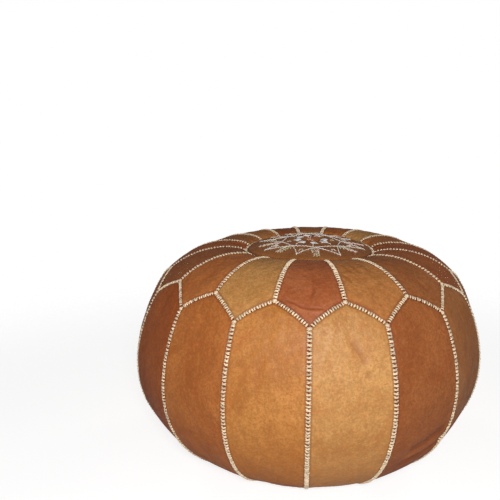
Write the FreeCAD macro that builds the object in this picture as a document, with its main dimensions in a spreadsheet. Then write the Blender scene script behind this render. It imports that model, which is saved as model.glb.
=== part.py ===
import FreeCAD, Part
import math
import os

import Sketcher
from FreeCAD import Placement, Rotation, Vector

# A round leather pouf, 540 mm across and 320 mm high, sewn from sixteen petals and
# sixteen side panels around a medallion, with a zip across the base.
# Millimetres. +Z is up, the origin is the middle of the base at floor level, and the
# first petal points along -Y. Petals and panels are numbered counterclockwise from above.

SIZES = {
    # leather cover
    "panel_count": 16,              # petals, and side panels
    "leather": 2.0,                 # leather thickness
    "seam_angle": 0.34,             # open angle between neighbouring pieces, degrees
    "zigzag_gap": 0.95,             # seam line to leather edge on the pointed joints
    "girth_radius": 270.0,          # widest radius, at the seams
    "girth_height": 148.0,          # height of the widest ring
    "upper_wall_radius": 225.0,     # section radius just above the girth
    "shoulder_radius": 130.0,       # section radius over the shoulder
    "shoulder_height": 314.0,       # highest point of the petals
    "lower_wall_radius": 162.0,     # section radius below the girth
    "lip_radius": 152.0,            # inner edge of the flat lip that rests on the floor
    "petal_inner_radius": 105.5,
    "petal_tip_radius": 239.0,      # outer point of each petal
    "panel_peak_radius": 216.0,     # upper point of each side panel
    # medallion
    "medallion_height": 320.0,
    "medallion_radius": 102.5,
    "medallion_dome": 1350.0,       # section radius of its top
    "medallion_rim": 12.0,          # section radius of its rolled edge
    # stitching
    "stitch_clearance": 0.1,        # leather to the underside of a stitch row
    "stitch_height": 1.6,
    "stitch_width": 5.0,
    "cord_radius": 0.8,
    "cord_height": 1.2,             # leather to the middle of a cord
    "ring_stitch_radius": 104.0,
    "ring_stitch_height": 311.5,
    "ring_stitch_tube": 1.1,
    "base_stitch_radius": 150.0,
    "base_stitch_height": 2.0,
    "base_stitch_tube": 1.6,
    # embroidery on the medallion
    "star_tip_radius": 80.0,
    "star_waist_radius": 42.0,
    "star_turn": 12.5,              # first star tip, degrees round from -Y
    "star_points": 8,
    "square_ring_radius": 22.0,
    "square_side": 9.0,
    "rosette_radius": 5.0,
    "embroidery_gap": 0.3,          # leather to the underside of the embroidery
    "embroidery_height": 0.8,
    "sprig_radius": 72.0,           # middle of each sprig
    "sprig_stem": 40.0,
    "sprig_stroke": 1.4,            # width of one embroidered stroke
    "sprig_leaf": 8.0,
    "sprig_leaf_pitch": 9.0,
    # base
    "base_radius": 148.0,
    "base_height": 4.0,             # underside of the base leather
    "base_slot": 7.0,               # half width of the opening over the zip
    # lining and filling
    "liner_gap": 3.0,               # outside of the leather to the outside of the liner
    "liner_cloth": 0.8,
    "liner_floor": 9.6,
    "liner_roof": 303.0,            # top of the bag under the medallion
    "liner_neck": 60.0,             # radius of the filling neck under the bag
    "bag_step_outer": 112.0,        # the bag steps down under the medallion, from here
    "bag_step_inner": 104.0,        # to here
    "filling_gap": 5.0,
    "filling_floor": 11.4,
    "filling_roof": 301.0,
    # zip
    "zip_travel": 112.0,            # slider's distance from the middle at each end
    "tape_length": 134.0,           # half length
    "tape_inner": 3.9,
    "tape_outer": 16.0,
    "tape_height": 6.05,
    "tape_cloth": 0.6,
    "coil_length": 120.0,           # half length
    "coil_inner": 0.7,
    "coil_middle": 1.7,
    "coil_outer": 3.7,
    "coil_height": 5.25,
    "coil_depth": 2.2,
    "tooth_width": 1.5,
    "tooth_pitch": 3.0,
    "stop_length": 3.0,
    "zip_stitch_row": 11.0,         # stitch row to the middle of the zip
    "zip_stitch_length": 3.6,
    "zip_stitch_pitch": 5.4,
    "zip_stitch_width": 0.9,
    "zip_stitch_height": 3.3,
    "zip_stitch_depth": 0.6,
    "slider_length": 7.5,           # half length
    "slider_width": 5.5,            # half width
    "slider_waist": 4.2,
    "slider_plate": 1.0,
    "slider_lower": 4.0,
    "slider_upper": 7.7,
    "slider_post": 0.5,             # half thickness
    "bridge_length": 4.0,           # half length
    "bridge_width": 1.2,            # half width
    "bridge_low": 1.4,
    "bridge_bar": 1.2,
    "pin_height": 3.2,
    "pin_radius": 0.6,
    "pull_length": 30.0,
    "pull_width": 3.5,              # half width
    "pull_slot": 2.0,               # half width of its slot
    "pull_slot_end": 6.0,
}

FRONT = -90.0                       # direction of -Y, degrees from +X
UP = Vector(0, 0, 1)
ORIGIN_POINT = (-1, 1)              # Sketcher's name for a sketch's own origin


# ---------------------------------------------------------------- document and sheet

def make_sheet(doc):
    sheet = doc.addObject("Spreadsheet::Sheet", "Sizes")
    for row, (alias, value) in enumerate(SIZES.items(), start=1):
        sheet.set(f"A{row}", alias)
        sheet.set(f"B{row}", str(value))
        sheet.setAlias(f"B{row}", alias)
    doc.recompute()
    return sheet


def size(name):
    return SIZES[name]


def pitch_angle():
    return 360.0 / size("panel_count")


def turned(angle):
    """A placement turned about the vertical axis, in degrees from +X."""
    return Placement(Vector(0, 0, 0), Rotation(UP, angle))


# ---------------------------------------------------------------- section of the cover

def wall_centre():
    return Vector(size("girth_radius") - size("upper_wall_radius"), size("girth_height"), 0)


def shoulder_centre():
    wall = wall_centre()
    height = size("shoulder_height") - size("shoulder_radius")
    reach = size("upper_wall_radius") - size("shoulder_radius")
    return Vector(wall.x + math.sqrt(reach ** 2 - (height - wall.y) ** 2), height, 0)


def lower_centre():
    return Vector(size("girth_radius") - size("lower_wall_radius"), size("girth_height"), 0)


def cover_height(radius):
    """Height of the leather's outside over the shoulder, at a radius from the axis."""
    centre = shoulder_centre()
    return centre.y + math.sqrt(size("shoulder_radius") ** 2 - (radius - centre.x) ** 2)


def medallion_surface(radius):
    """Height of the medallion's top at a radius from the axis."""
    dome = size("medallion_dome")
    return size("medallion_height") - dome + math.sqrt(dome ** 2 - radius ** 2)


# ---------------------------------------------------------------- sketch helpers

def origin_plane(body, role):
    for feature in body.Origin.OriginFeatures:
        if feature.Role == role:
            return feature
    raise ValueError(role)


def new_body(doc, label):
    body = doc.addObject("PartDesign::Body", label)
    body.Label = label
    return body


def new_sketch(body, plane, name):
    sketch = body.newObject("Sketcher::SketchObject", name)
    sketch.AttachmentSupport = [(origin_plane(body, plane), "")]
    sketch.MapMode = "FlatFace"
    return sketch


def bind(sketch, kind, references, value, formula):
    """Add a dimension to a sketch and drive it from the sheet."""
    index = sketch.addConstraint(Sketcher.Constraint(kind, *references, value))
    sketch.setExpression(f"Constraints[{index}]", formula)


def place_x(sketch, geometry, point, value, formula):
    bind(sketch, "DistanceX", (*ORIGIN_POINT, geometry, point), value, formula)


def place_y(sketch, geometry, point, value, formula):
    bind(sketch, "DistanceY", (*ORIGIN_POINT, geometry, point), value, formula)


def meet(sketch, first, first_point, second, second_point):
    sketch.addConstraint(
        Sketcher.Constraint("Coincident", first, first_point, second, second_point))


def add_arc(sketch, centre, radius, start, end):
    """Add an arc that runs counterclockwise between two angles in radians."""
    circle = Part.Circle(centre, UP, radius)
    return sketch.addGeometry(Part.ArcOfCircle(circle, start, end))


def add_line(sketch, start, end):
    return sketch.addGeometry(Part.LineSegment(start, end))


def join_ends(sketch, first, first_point, second, second_point, direction=None):
    """Close an outline with a straight edge between two ends."""
    line = add_line(sketch, sketch.getPoint(first, first_point),
                    sketch.getPoint(second, second_point))
    meet(sketch, line, 1, first, first_point)
    meet(sketch, line, 2, second, second_point)
    if direction:
        sketch.addConstraint(Sketcher.Constraint(direction, line))
    return line


def add_rectangle(sketch, low_x, high_x, low_y, high_y):
    """Add a rectangle; each side is a pair of its value and its formula."""
    corners = [Vector(low_x[0], low_y[0], 0), Vector(high_x[0], low_y[0], 0),
               Vector(high_x[0], high_y[0], 0), Vector(low_x[0], high_y[0], 0)]
    lines = [add_line(sketch, corners[i], corners[(i + 1) % 4]) for i in range(4)]
    for i in range(4):
        meet(sketch, lines[i], 2, lines[(i + 1) % 4], 1)
    for i, direction in enumerate(("Horizontal", "Vertical", "Horizontal", "Vertical")):
        sketch.addConstraint(Sketcher.Constraint(direction, lines[i]))
    place_x(sketch, lines[0], 1, *low_x)
    place_x(sketch, lines[2], 1, *high_x)
    place_y(sketch, lines[0], 1, *low_y)
    place_y(sketch, lines[2], 1, *high_y)
    return lines


def add_polygon(sketch, corners):
    """Add a closed outline; each corner is (x, x formula, y, y formula)."""
    points = [Vector(x, y, 0) for x, _, y, _ in corners]
    count = len(points)
    lines = [add_line(sketch, points[i], points[(i + 1) % count]) for i in range(count)]
    for i in range(count):
        meet(sketch, lines[i], 2, lines[(i + 1) % count], 1)
    for line, (x, x_formula, y, y_formula) in zip(lines, corners):
        place_x(sketch, line, 1, x, x_formula)
        place_y(sketch, line, 1, y, y_formula)


def pad(body, sketch, name, formula, symmetric=False):
    feature = body.newObject("PartDesign::Pad", name)
    feature.Profile = sketch
    feature.setExpression("Length", formula)
    feature.Midplane = symmetric
    sketch.Visibility = False
    return feature


def revolve(body, sketch, name, formula):
    feature = body.newObject("PartDesign::Revolution", name)
    feature.Profile = sketch
    feature.ReferenceAxis = (sketch, ["V_Axis"])
    feature.setExpression("Angle", formula)
    feature.Midplane = True
    sketch.Visibility = False
    return feature


def ring_pattern(body, features, name, count_formula):
    pattern = body.newObject("PartDesign::PolarPattern", name)
    pattern.Originals = features
    pattern.Axis = (origin_plane(body, "Z_Axis"), [""])
    pattern.Angle = 360
    pattern.setExpression("Occurrences", count_formula)
    body.Tip = pattern
    return pattern


# ---------------------------------------------------------------- curves of the section

def shoulder_arc(sketch, offset, formula, low_angle, high_angle):
    centre = shoulder_centre()
    arc = add_arc(sketch, centre, size("shoulder_radius") + offset, low_angle, high_angle)
    place_y(sketch, arc, 3, centre.y, "Sizes.shoulder_height - Sizes.shoulder_radius")
    bind(sketch, "Radius", (arc,), size("shoulder_radius") + offset,
         f"Sizes.shoulder_radius + ({formula})")
    return arc


def wall_chain(sketch, offset, formula, top_radius, floor):
    """Add the section's three arcs, floor to shoulder, moved outwards by an offset.

    Returns the lower wall, the upper wall and the shoulder. The caller fixes the
    chain's two free ends.
    """
    wall, shoulder, lower = wall_centre(), shoulder_centre(), lower_centre()
    lower_reach = size("lower_wall_radius") + offset
    upper_reach = size("upper_wall_radius") + offset
    shoulder_reach = size("shoulder_radius") + offset
    meeting = math.atan2(shoulder.y - wall.y, shoulder.x - wall.x)
    floor_angle = math.asin((floor - lower.y) / lower_reach)
    top_angle = math.acos((top_radius - shoulder.x) / shoulder_reach)

    lower_arc = add_arc(sketch, lower, lower_reach, floor_angle, 0)
    upper_arc = add_arc(sketch, wall, upper_reach, 0, meeting)
    meet(sketch, lower_arc, 2, upper_arc, 1)
    place_x(sketch, upper_arc, 1, size("girth_radius") + offset,
            f"Sizes.girth_radius + ({formula})")
    for arc in (lower_arc, upper_arc):
        place_y(sketch, arc, 3, size("girth_height"), "Sizes.girth_height")
    place_y(sketch, upper_arc, 1, size("girth_height"), "Sizes.girth_height")
    bind(sketch, "Radius", (lower_arc,), lower_reach, f"Sizes.lower_wall_radius + ({formula})")
    bind(sketch, "Radius", (upper_arc,), upper_reach, f"Sizes.upper_wall_radius + ({formula})")
    top_arc = shoulder_arc(sketch, offset, formula, meeting, top_angle)
    sketch.addConstraint(Sketcher.Constraint("Tangent", upper_arc, 2, top_arc, 1))
    return lower_arc, upper_arc, top_arc


# ---------------------------------------------------------------- leather cover

def make_medallion(doc):
    """A shallow dome with a rolled edge, turned as one disc of leather."""
    body = new_body(doc, "medallion")
    sketch = new_sketch(body, "XZ_Plane", "medallion_section")
    dome, rim = size("medallion_dome"), size("medallion_rim")
    leather = size("leather")
    top = size("medallion_height")
    dome_centre = Vector(0, top - dome, 0)
    rim_r = size("medallion_radius") - rim
    lean = math.asin(rim_r / (dome - rim))
    rim_centre = Vector(rim_r, dome_centre.y + (dome - rim) * math.cos(lean), 0)
    upright = math.pi / 2
    ends = []
    for inset, formula in ((0, "0"), (leather, "Sizes.leather")):
        dome_arc = add_arc(sketch, dome_centre, dome - inset, upright - lean, upright)
        rim_arc = add_arc(sketch, rim_centre, rim - inset, 0, upright - lean)
        place_x(sketch, dome_arc, 3, 0, "0")
        place_y(sketch, dome_arc, 2, top - inset, f"Sizes.medallion_height - {formula}")
        place_x(sketch, dome_arc, 2, 0, "0")
        bind(sketch, "Radius", (dome_arc,), dome - inset, f"Sizes.medallion_dome - {formula}")
        bind(sketch, "Radius", (rim_arc,), rim - inset, f"Sizes.medallion_rim - {formula}")
        place_x(sketch, rim_arc, 3, rim_r, "Sizes.medallion_radius - Sizes.medallion_rim")
        sketch.addConstraint(Sketcher.Constraint("Tangent", rim_arc, 2, dome_arc, 1))
        sketch.addConstraint(Sketcher.Constraint("Horizontal", rim_arc, 3, rim_arc, 1))
        ends.append((dome_arc, rim_arc))
    join_ends(sketch, ends[0][0], 2, ends[1][0], 2)
    join_ends(sketch, ends[0][1], 1, ends[1][1], 1)
    revolve(body, sketch, "medallion_turning", "360")
    return body


def petal_tip_outline(body):
    """The material outside a petal's two pointed edges, seen from above."""
    half = math.radians(pitch_angle() / 2)
    stretch = 1.3
    tip = size("petal_tip_radius") - size("zigzag_gap")
    inward = size("petal_tip_radius") - size("panel_peak_radius") * math.cos(half)
    side = stretch * size("panel_peak_radius") * math.sin(half)
    beyond = size("petal_tip_radius") + size("stitch_width")
    half_angle = "180 deg / Sizes.panel_count"
    tip_x = "Sizes.petal_tip_radius - Sizes.zigzag_gap"
    shoulder_x = (f"{tip_x} - {stretch} * (Sizes.petal_tip_radius"
                  f" - Sizes.panel_peak_radius * cos({half_angle}))")
    side_y = f"{stretch} * Sizes.panel_peak_radius * sin({half_angle})"
    beyond_x = "Sizes.petal_tip_radius + Sizes.stitch_width"
    sketch = new_sketch(body, "XY_Plane", "tip_outline")
    add_polygon(sketch, [
        (tip, tip_x, 0, "0"),
        (tip - stretch * inward, shoulder_x, side, side_y),
        (beyond, beyond_x, side, side_y),
        (beyond, beyond_x, -side, f"-{side_y}"),
        (tip - stretch * inward, shoulder_x, -side, f"-{side_y}"),
    ])
    return sketch


def panel_peak_outline(body):
    """The material inside a side panel's two upper edges, seen from above."""
    half = math.radians(pitch_angle() / 2)
    stretch = 1.3
    peak = size("panel_peak_radius") + size("zigzag_gap")
    outward = size("petal_tip_radius") * math.cos(half) - size("panel_peak_radius")
    side = stretch * size("petal_tip_radius") * math.sin(half)
    inside = size("panel_peak_radius") - 2 * size("stitch_width")
    half_angle = "180 deg / Sizes.panel_count"
    peak_x = "Sizes.panel_peak_radius + Sizes.zigzag_gap"
    flank_x = (f"{peak_x} + {stretch} * (Sizes.petal_tip_radius * cos({half_angle})"
               " - Sizes.panel_peak_radius)")
    side_y = f"{stretch} * Sizes.petal_tip_radius * sin({half_angle})"
    inside_x = "Sizes.panel_peak_radius - 2 * Sizes.stitch_width"
    sketch = new_sketch(body, "XY_Plane", "peak_outline")
    sketch.setExpression("AttachmentOffset.Base.z", "Sizes.girth_height")
    add_polygon(sketch, [
        (peak, peak_x, 0, "0"),
        (peak + stretch * outward, flank_x, side, side_y),
        (inside, inside_x, side, side_y),
        (inside, inside_x, -side, f"-{side_y}"),
        (peak + stretch * outward, flank_x, -side, f"-{side_y}"),
    ])
    return sketch


def trim(doc, body, base, sketch, name):
    """Cut upwards from a sketch, and make sure that the cut removes leather."""
    doc.recompute()
    before = base.Shape.Volume
    pocket = body.newObject("PartDesign::Pocket", name)
    pocket.Profile = sketch
    pocket.Type = "ThroughAll"
    pocket.Reversed = True
    sketch.Visibility = False
    doc.recompute()
    if not pocket.Shape.Volume < before:
        raise RuntimeError(f"{body.Label}: {name} removed nothing")


def make_petal(doc, index):
    """One house-shaped piece of the top, from the medallion out to a point."""
    body = new_body(doc, f"petal_{index + 1:02d}")
    sketch = new_sketch(body, "XZ_Plane", "petal_section")
    centre = shoulder_centre()
    inner, outer = size("petal_inner_radius"), size("petal_tip_radius")
    arcs = []
    for offset, formula in ((0, "0"), (-size("leather"), "-Sizes.leather")):
        reach = size("shoulder_radius") + offset
        arc = shoulder_arc(sketch, offset, formula, math.acos((outer - centre.x) / reach),
                           math.acos((inner - centre.x) / reach))
        place_x(sketch, arc, 3, centre.x,
                "Sizes.girth_radius - Sizes.upper_wall_radius"
                " + sqrt((Sizes.upper_wall_radius - Sizes.shoulder_radius)^2"
                " - (Sizes.shoulder_height - Sizes.shoulder_radius - Sizes.girth_height)^2)")
        place_x(sketch, arc, 1, outer, "Sizes.petal_tip_radius")
        place_x(sketch, arc, 2, inner, "Sizes.petal_inner_radius")
        arcs.append(arc)
    join_ends(sketch, arcs[0], 2, arcs[1], 2)
    join_ends(sketch, arcs[1], 1, arcs[0], 1)
    turning = revolve(body, sketch, "petal_turning", "360 / Sizes.panel_count - Sizes.seam_angle")
    trim(doc, body, turning, petal_tip_outline(body), "petal_point")
    body.Placement = turned(FRONT + index * pitch_angle())
    return body


def make_side_panel(doc, index):
    """One tall piece of the side, from its peak down to the lip under the pouf."""
    body = new_body(doc, f"side_panel_{index + 1:02d}")
    sketch = new_sketch(body, "XZ_Plane", "panel_section")
    leather = size("leather")
    top = size("panel_peak_radius")
    outer = wall_chain(sketch, 0, "0", top, 0)
    inner = wall_chain(sketch, -leather, "-Sizes.leather", top, leather)
    for chain in (outer, inner):
        place_x(sketch, chain[2], 2, top, "Sizes.panel_peak_radius")
    place_y(sketch, outer[0], 1, 0, "0")
    place_y(sketch, inner[0], 1, leather, "Sizes.leather")
    join_ends(sketch, outer[2], 2, inner[2], 2)
    lip = size("lip_radius")
    floor = add_line(sketch, sketch.getPoint(outer[0], 1), Vector(lip, 0, 0))
    edge = add_line(sketch, Vector(lip, 0, 0), Vector(lip, leather, 0))
    ceiling = add_line(sketch, Vector(lip, leather, 0), sketch.getPoint(inner[0], 1))
    meet(sketch, floor, 1, outer[0], 1)
    meet(sketch, floor, 2, edge, 1)
    meet(sketch, edge, 2, ceiling, 1)
    meet(sketch, ceiling, 2, inner[0], 1)
    for line, direction in ((floor, "Horizontal"), (edge, "Vertical"), (ceiling, "Horizontal")):
        sketch.addConstraint(Sketcher.Constraint(direction, line))
    place_x(sketch, edge, 1, lip, "Sizes.lip_radius")
    turning = revolve(body, sketch, "panel_turning", "360 / Sizes.panel_count - Sizes.seam_angle")
    trim(doc, body, turning, panel_peak_outline(body), "panel_peak")
    body.Placement = turned(FRONT + (index + 0.5) * pitch_angle())
    return body


def make_base_half(doc, label, angle):
    """Half of the leather base, cut straight along the zip."""
    body = new_body(doc, label)
    sketch = new_sketch(body, "XY_Plane", "half_outline")
    sketch.setExpression("AttachmentOffset.Base.z", "Sizes.base_height")
    radius, slot = size("base_radius"), size("base_slot")
    start = math.asin(slot / radius)
    arc = add_arc(sketch, Vector(0, 0, 0), radius, start, math.pi - start)
    meet(sketch, arc, 3, *ORIGIN_POINT)
    bind(sketch, "Radius", (arc,), radius, "Sizes.base_radius")
    place_y(sketch, arc, 1, slot, "Sizes.base_slot")
    join_ends(sketch, arc, 2, arc, 1, "Horizontal")
    pad(body, sketch, "half_leather", "Sizes.leather")
    body.Placement = turned(angle)
    return body


# ---------------------------------------------------------------- stitching

def make_medallion_stitching(doc):
    ring = doc.addObject("Part::Torus", "medallion_stitching")
    ring.setExpression("Radius1", "Sizes.ring_stitch_radius")
    ring.setExpression("Radius2", "Sizes.ring_stitch_tube")
    ring.setExpression("Placement.Base.z", "Sizes.ring_stitch_height")
    return ring


def make_base_stitching(doc):
    ring = doc.addObject("Part::Torus", "base_stitching")
    ring.setExpression("Radius1", "Sizes.base_stitch_radius")
    ring.setExpression("Radius2", "Sizes.base_stitch_tube")
    ring.setExpression("Placement.Base.z", "Sizes.base_stitch_height")
    return ring


def make_petal_seam_stitching(doc):
    """The sixteen straight rows of stitches between the petals."""
    body = new_body(doc, "petal_seam_stitching")
    sketch = new_sketch(body, "XZ_Plane", "row_section")
    centre = shoulder_centre()
    width = size("stitch_width")
    inner = size("petal_inner_radius") + width
    outer = size("panel_peak_radius") - width
    arcs = []
    for offset, formula in stitch_offsets():
        reach = size("shoulder_radius") + offset
        arc = shoulder_arc(sketch, offset, formula, math.acos((outer - centre.x) / reach),
                           math.acos((inner - centre.x) / reach))
        place_x(sketch, arc, 3, centre.x,
                "Sizes.girth_radius - Sizes.upper_wall_radius"
                " + sqrt((Sizes.upper_wall_radius - Sizes.shoulder_radius)^2"
                " - (Sizes.shoulder_height - Sizes.shoulder_radius - Sizes.girth_height)^2)")
        place_x(sketch, arc, 1, outer, "Sizes.panel_peak_radius - Sizes.stitch_width")
        place_x(sketch, arc, 2, inner, "Sizes.petal_inner_radius + Sizes.stitch_width")
        arcs.append(arc)
    join_ends(sketch, arcs[0], 2, arcs[1], 2)
    join_ends(sketch, arcs[1], 1, arcs[0], 1)
    row = pad(body, sketch, "row", "Sizes.stitch_width", symmetric=True)
    ring_pattern(body, [row], "rows", "Sizes.panel_count")
    body.Placement = turned(FRONT + pitch_angle() / 2)
    return body


def stitch_offsets():
    """The underside and the top of a stitch row, measured outwards from the leather."""
    low = size("stitch_clearance")
    high = low + size("stitch_height")
    return ((low, "Sizes.stitch_clearance"),
            (high, "Sizes.stitch_clearance + Sizes.stitch_height"))


def make_side_seam_stitching(doc):
    """The sixteen rows of stitches down the sides, from the petal tips to the base."""
    body = new_body(doc, "side_seam_stitching")
    sketch = new_sketch(body, "XZ_Plane", "row_section")
    top = size("petal_tip_radius") + size("stitch_width")
    floor = size("stitch_width")
    chains = []
    for offset, formula in stitch_offsets():
        chain = wall_chain(sketch, offset, formula, top, floor)
        place_x(sketch, chain[2], 2, top, "Sizes.petal_tip_radius + Sizes.stitch_width")
        place_y(sketch, chain[0], 1, floor, "Sizes.stitch_width")
        chains.append(chain)
    join_ends(sketch, chains[0][2], 2, chains[1][2], 2)
    join_ends(sketch, chains[0][0], 1, chains[1][0], 1)
    row = pad(body, sketch, "row", "Sizes.stitch_width", symmetric=True)
    ring_pattern(body, [row], "rows", "Sizes.panel_count")
    body.Placement = turned(FRONT)
    return body


def cord_between(doc, name, start, middle, end):
    """A round cord along the arc through three points."""
    arc = Part.Arc(start, middle, end).toShape()
    centre, radius = arc.Curve.Center, arc.Curve.Radius
    across = (start - centre).normalize()
    axis = (start - centre).cross(middle - centre).normalize()
    cord = doc.addObject("Part::Torus", name)
    cord.Radius1 = radius
    cord.setExpression("Radius2", "Sizes.cord_radius")
    cord.Angle3 = math.degrees(arc.Length / radius)
    cord.Placement = Placement(centre, Rotation(across, axis.cross(across), axis, "ZXY"))
    return cord


def over_shoulder(point):
    """Lift a point in plan to the middle of a cord that lies on the leather."""
    radius = math.hypot(point.x, point.y)
    centre = shoulder_centre()
    normal = Vector(radius - centre.x, cover_height(radius) - centre.y, 0).normalize()
    lifted = radius + normal.x * size("cord_height")
    height = cover_height(radius) + normal.y * size("cord_height")
    return Vector(point.x * lifted / radius, point.y * lifted / radius, height)


def plan_point(radius, angle):
    """A point at a radius, its angle in degrees counterclockwise from -Y."""
    turn = math.radians(FRONT + angle)
    return Vector(radius * math.cos(turn), radius * math.sin(turn), 0)


def make_petal_edge_stitching(doc):
    """The zigzag of cords along the petals' points, two to each petal."""
    cords = []
    end_gap = 0.12                  # share of each edge left free at its ends
    for index in range(size("panel_count")):
        for side in (-1, 1):
            tip = plan_point(size("petal_tip_radius"), index * pitch_angle())
            notch = plan_point(size("panel_peak_radius"), (index + side / 2) * pitch_angle())
            run = notch - tip
            places = [tip + run * share for share in (end_gap, 0.5, 1 - end_gap)]
            name = f"edge_cord_{index + 1:02d}_{'left' if side < 0 else 'right'}"
            cords.append(cord_between(doc, name, *[over_shoulder(place) for place in places]))
    group = doc.addObject("Part::Compound", "petal_edge_stitching")
    group.Links = cords
    return group


# ---------------------------------------------------------------- embroidery

def on_medallion(radius, angle):
    """The middle of a cord on the medallion, its angle counterclockwise from -Y."""
    point = plan_point(radius, angle)
    point.z = medallion_surface(radius) + size("cord_height")
    return point


def make_embroidery_star(doc):
    """An eight-pointed star of two interlaced squares with sides bowed inwards."""
    step = 360.0 / size("star_points")
    cords = []
    for index in range(size("star_points")):
        first = size("star_turn") + index * step
        cords.append(cord_between(
            doc, f"star_cord_{index + 1}",
            on_medallion(size("star_tip_radius"), first),
            on_medallion(size("star_waist_radius"), first + step),
            on_medallion(size("star_tip_radius"), first + 2 * step)))
    star = doc.addObject("Part::MultiFuse", "embroidery_star")
    star.Shapes = cords
    return star


def make_embroidery_squares(doc):
    """Eight small satin squares in a ring."""
    body = new_body(doc, "embroidery_squares")
    sketch = new_sketch(body, "XY_Plane", "square_outline")
    sketch.setExpression("AttachmentOffset.Base.z", "Sizes.medallion_height + Sizes.embroidery_gap")
    ring, half = size("square_ring_radius"), size("square_side") / 2
    add_rectangle(sketch, (ring - half, "Sizes.square_ring_radius - Sizes.square_side / 2"),
                  (ring + half, "Sizes.square_ring_radius + Sizes.square_side / 2"),
                  (-half, "-Sizes.square_side / 2"), (half, "Sizes.square_side / 2"))
    square = pad(body, sketch, "square", "Sizes.embroidery_height")
    ring_pattern(body, [square], "squares", "Sizes.star_points")
    body.Placement = turned(FRONT + size("star_turn"))
    return body


def make_embroidery_rosette(doc):
    ring = doc.addObject("Part::Torus", "embroidery_rosette")
    ring.setExpression("Radius1", "Sizes.rosette_radius")
    ring.setExpression("Radius2", "Sizes.cord_radius")
    ring.setExpression("Placement.Base.z", "Sizes.medallion_height + Sizes.cord_height")
    return ring


def make_embroidery_sprigs(doc):
    """Eight fern-like sprigs between the star's points: a stem and three pairs of leaves."""
    body = new_body(doc, "embroidery_sprigs")
    sketch = new_sketch(body, "XY_Plane", "sprig_outline")
    slope = math.degrees(math.asin(size("sprig_radius") / size("medallion_dome")))
    lift = medallion_surface(size("sprig_radius")) + size("embroidery_gap")
    sketch.AttachmentOffset = Placement(Vector(size("sprig_radius"), 0, lift),
                                        Rotation(Vector(0, 1, 0), slope))
    stem, stroke = size("sprig_stem") / 2, size("sprig_stroke") / 2
    add_rectangle(sketch, (-stem, "-Sizes.sprig_stem / 2"), (stem, "Sizes.sprig_stem / 2"),
                  (-stroke, "-Sizes.sprig_stroke / 2"), (stroke, "Sizes.sprig_stroke / 2"))
    root = stroke + size("embroidery_gap")
    root_y = "Sizes.sprig_stroke / 2 + Sizes.embroidery_gap"
    leaf, width = size("sprig_leaf"), size("sprig_stroke")
    for pair in (-1, 0, 1):
        along = pair * size("sprig_leaf_pitch")
        x_formula = f"{pair} * Sizes.sprig_leaf_pitch"
        for side, sign in ((1, ""), (-1, "-")):
            near, near_y = side * root, f"{sign}({root_y})"
            far, far_y = side * (root + leaf), f"{sign}({root_y} + Sizes.sprig_leaf)"
            add_polygon(sketch, [
                (along, x_formula, near, near_y),
                (along + width, f"{x_formula} + Sizes.sprig_stroke", near, near_y),
                (along + width + leaf / 2,
                 f"{x_formula} + Sizes.sprig_stroke + Sizes.sprig_leaf / 2", far, far_y),
                (along + leaf / 2, f"{x_formula} + Sizes.sprig_leaf / 2", far, far_y),
            ])
    sprig = pad(body, sketch, "sprig", "Sizes.embroidery_height")
    ring_pattern(body, [sprig], "sprigs", "Sizes.star_points")
    body.Placement = turned(FRONT + size("star_turn") + 180.0 / size("star_points"))
    return body


# ---------------------------------------------------------------- lining and filling

def bag_outline(sketch, offset, formula, floor, roof):
    """One wall of a round bag; the floor and the roof are pairs of value and formula.

    Returns the lower wall and the roof, whose free ends the caller closes.
    """
    outer, inner = size("bag_step_outer"), size("bag_step_inner")
    lower, _, top = wall_chain(sketch, offset, formula, outer, floor[0])
    place_x(sketch, top, 2, outer, "Sizes.bag_step_outer")
    place_y(sketch, lower, 1, *floor)
    step = add_line(sketch, sketch.getPoint(top, 2), Vector(inner, roof[0], 0))
    meet(sketch, step, 1, top, 2)
    roof_line = add_line(sketch, Vector(inner, roof[0], 0), Vector(0, roof[0], 0))
    meet(sketch, roof_line, 1, step, 2)
    sketch.addConstraint(Sketcher.Constraint("Horizontal", roof_line))
    place_x(sketch, roof_line, 1, inner, "Sizes.bag_step_inner")
    place_y(sketch, roof_line, 1, *roof)
    place_x(sketch, roof_line, 2, 0, "0")
    return lower, roof_line


def make_liner_bag(doc):
    """The cotton bag that holds the filling, open at its neck over the zip."""
    body = new_body(doc, "liner_bag")
    sketch = new_sketch(body, "XZ_Plane", "bag_section")
    cloth, floor, neck = size("liner_cloth"), size("liner_floor"), size("liner_neck")
    gap, roof = size("liner_gap"), size("liner_roof")
    outer = bag_outline(sketch, -gap, "-Sizes.liner_gap",
                        (floor, "Sizes.liner_floor"), (roof, "Sizes.liner_roof"))
    inner = bag_outline(sketch, -gap - cloth, "-Sizes.liner_gap - Sizes.liner_cloth",
                        (floor + cloth, "Sizes.liner_floor + Sizes.liner_cloth"),
                        (roof - cloth, "Sizes.liner_roof - Sizes.liner_cloth"))
    join_ends(sketch, outer[1], 2, inner[1], 2)
    under = add_line(sketch, sketch.getPoint(outer[0], 1), Vector(neck, floor, 0))
    hem = add_line(sketch, Vector(neck, floor, 0), Vector(neck, floor + cloth, 0))
    over = add_line(sketch, Vector(neck, floor + cloth, 0), sketch.getPoint(inner[0], 1))
    meet(sketch, under, 1, outer[0], 1)
    meet(sketch, under, 2, hem, 1)
    meet(sketch, hem, 2, over, 1)
    meet(sketch, over, 2, inner[0], 1)
    for line, direction in ((under, "Horizontal"), (hem, "Vertical"), (over, "Horizontal")):
        sketch.addConstraint(Sketcher.Constraint(direction, line))
    place_x(sketch, hem, 1, neck, "Sizes.liner_neck")
    revolve(body, sketch, "bag_turning", "360")
    return body


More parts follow.
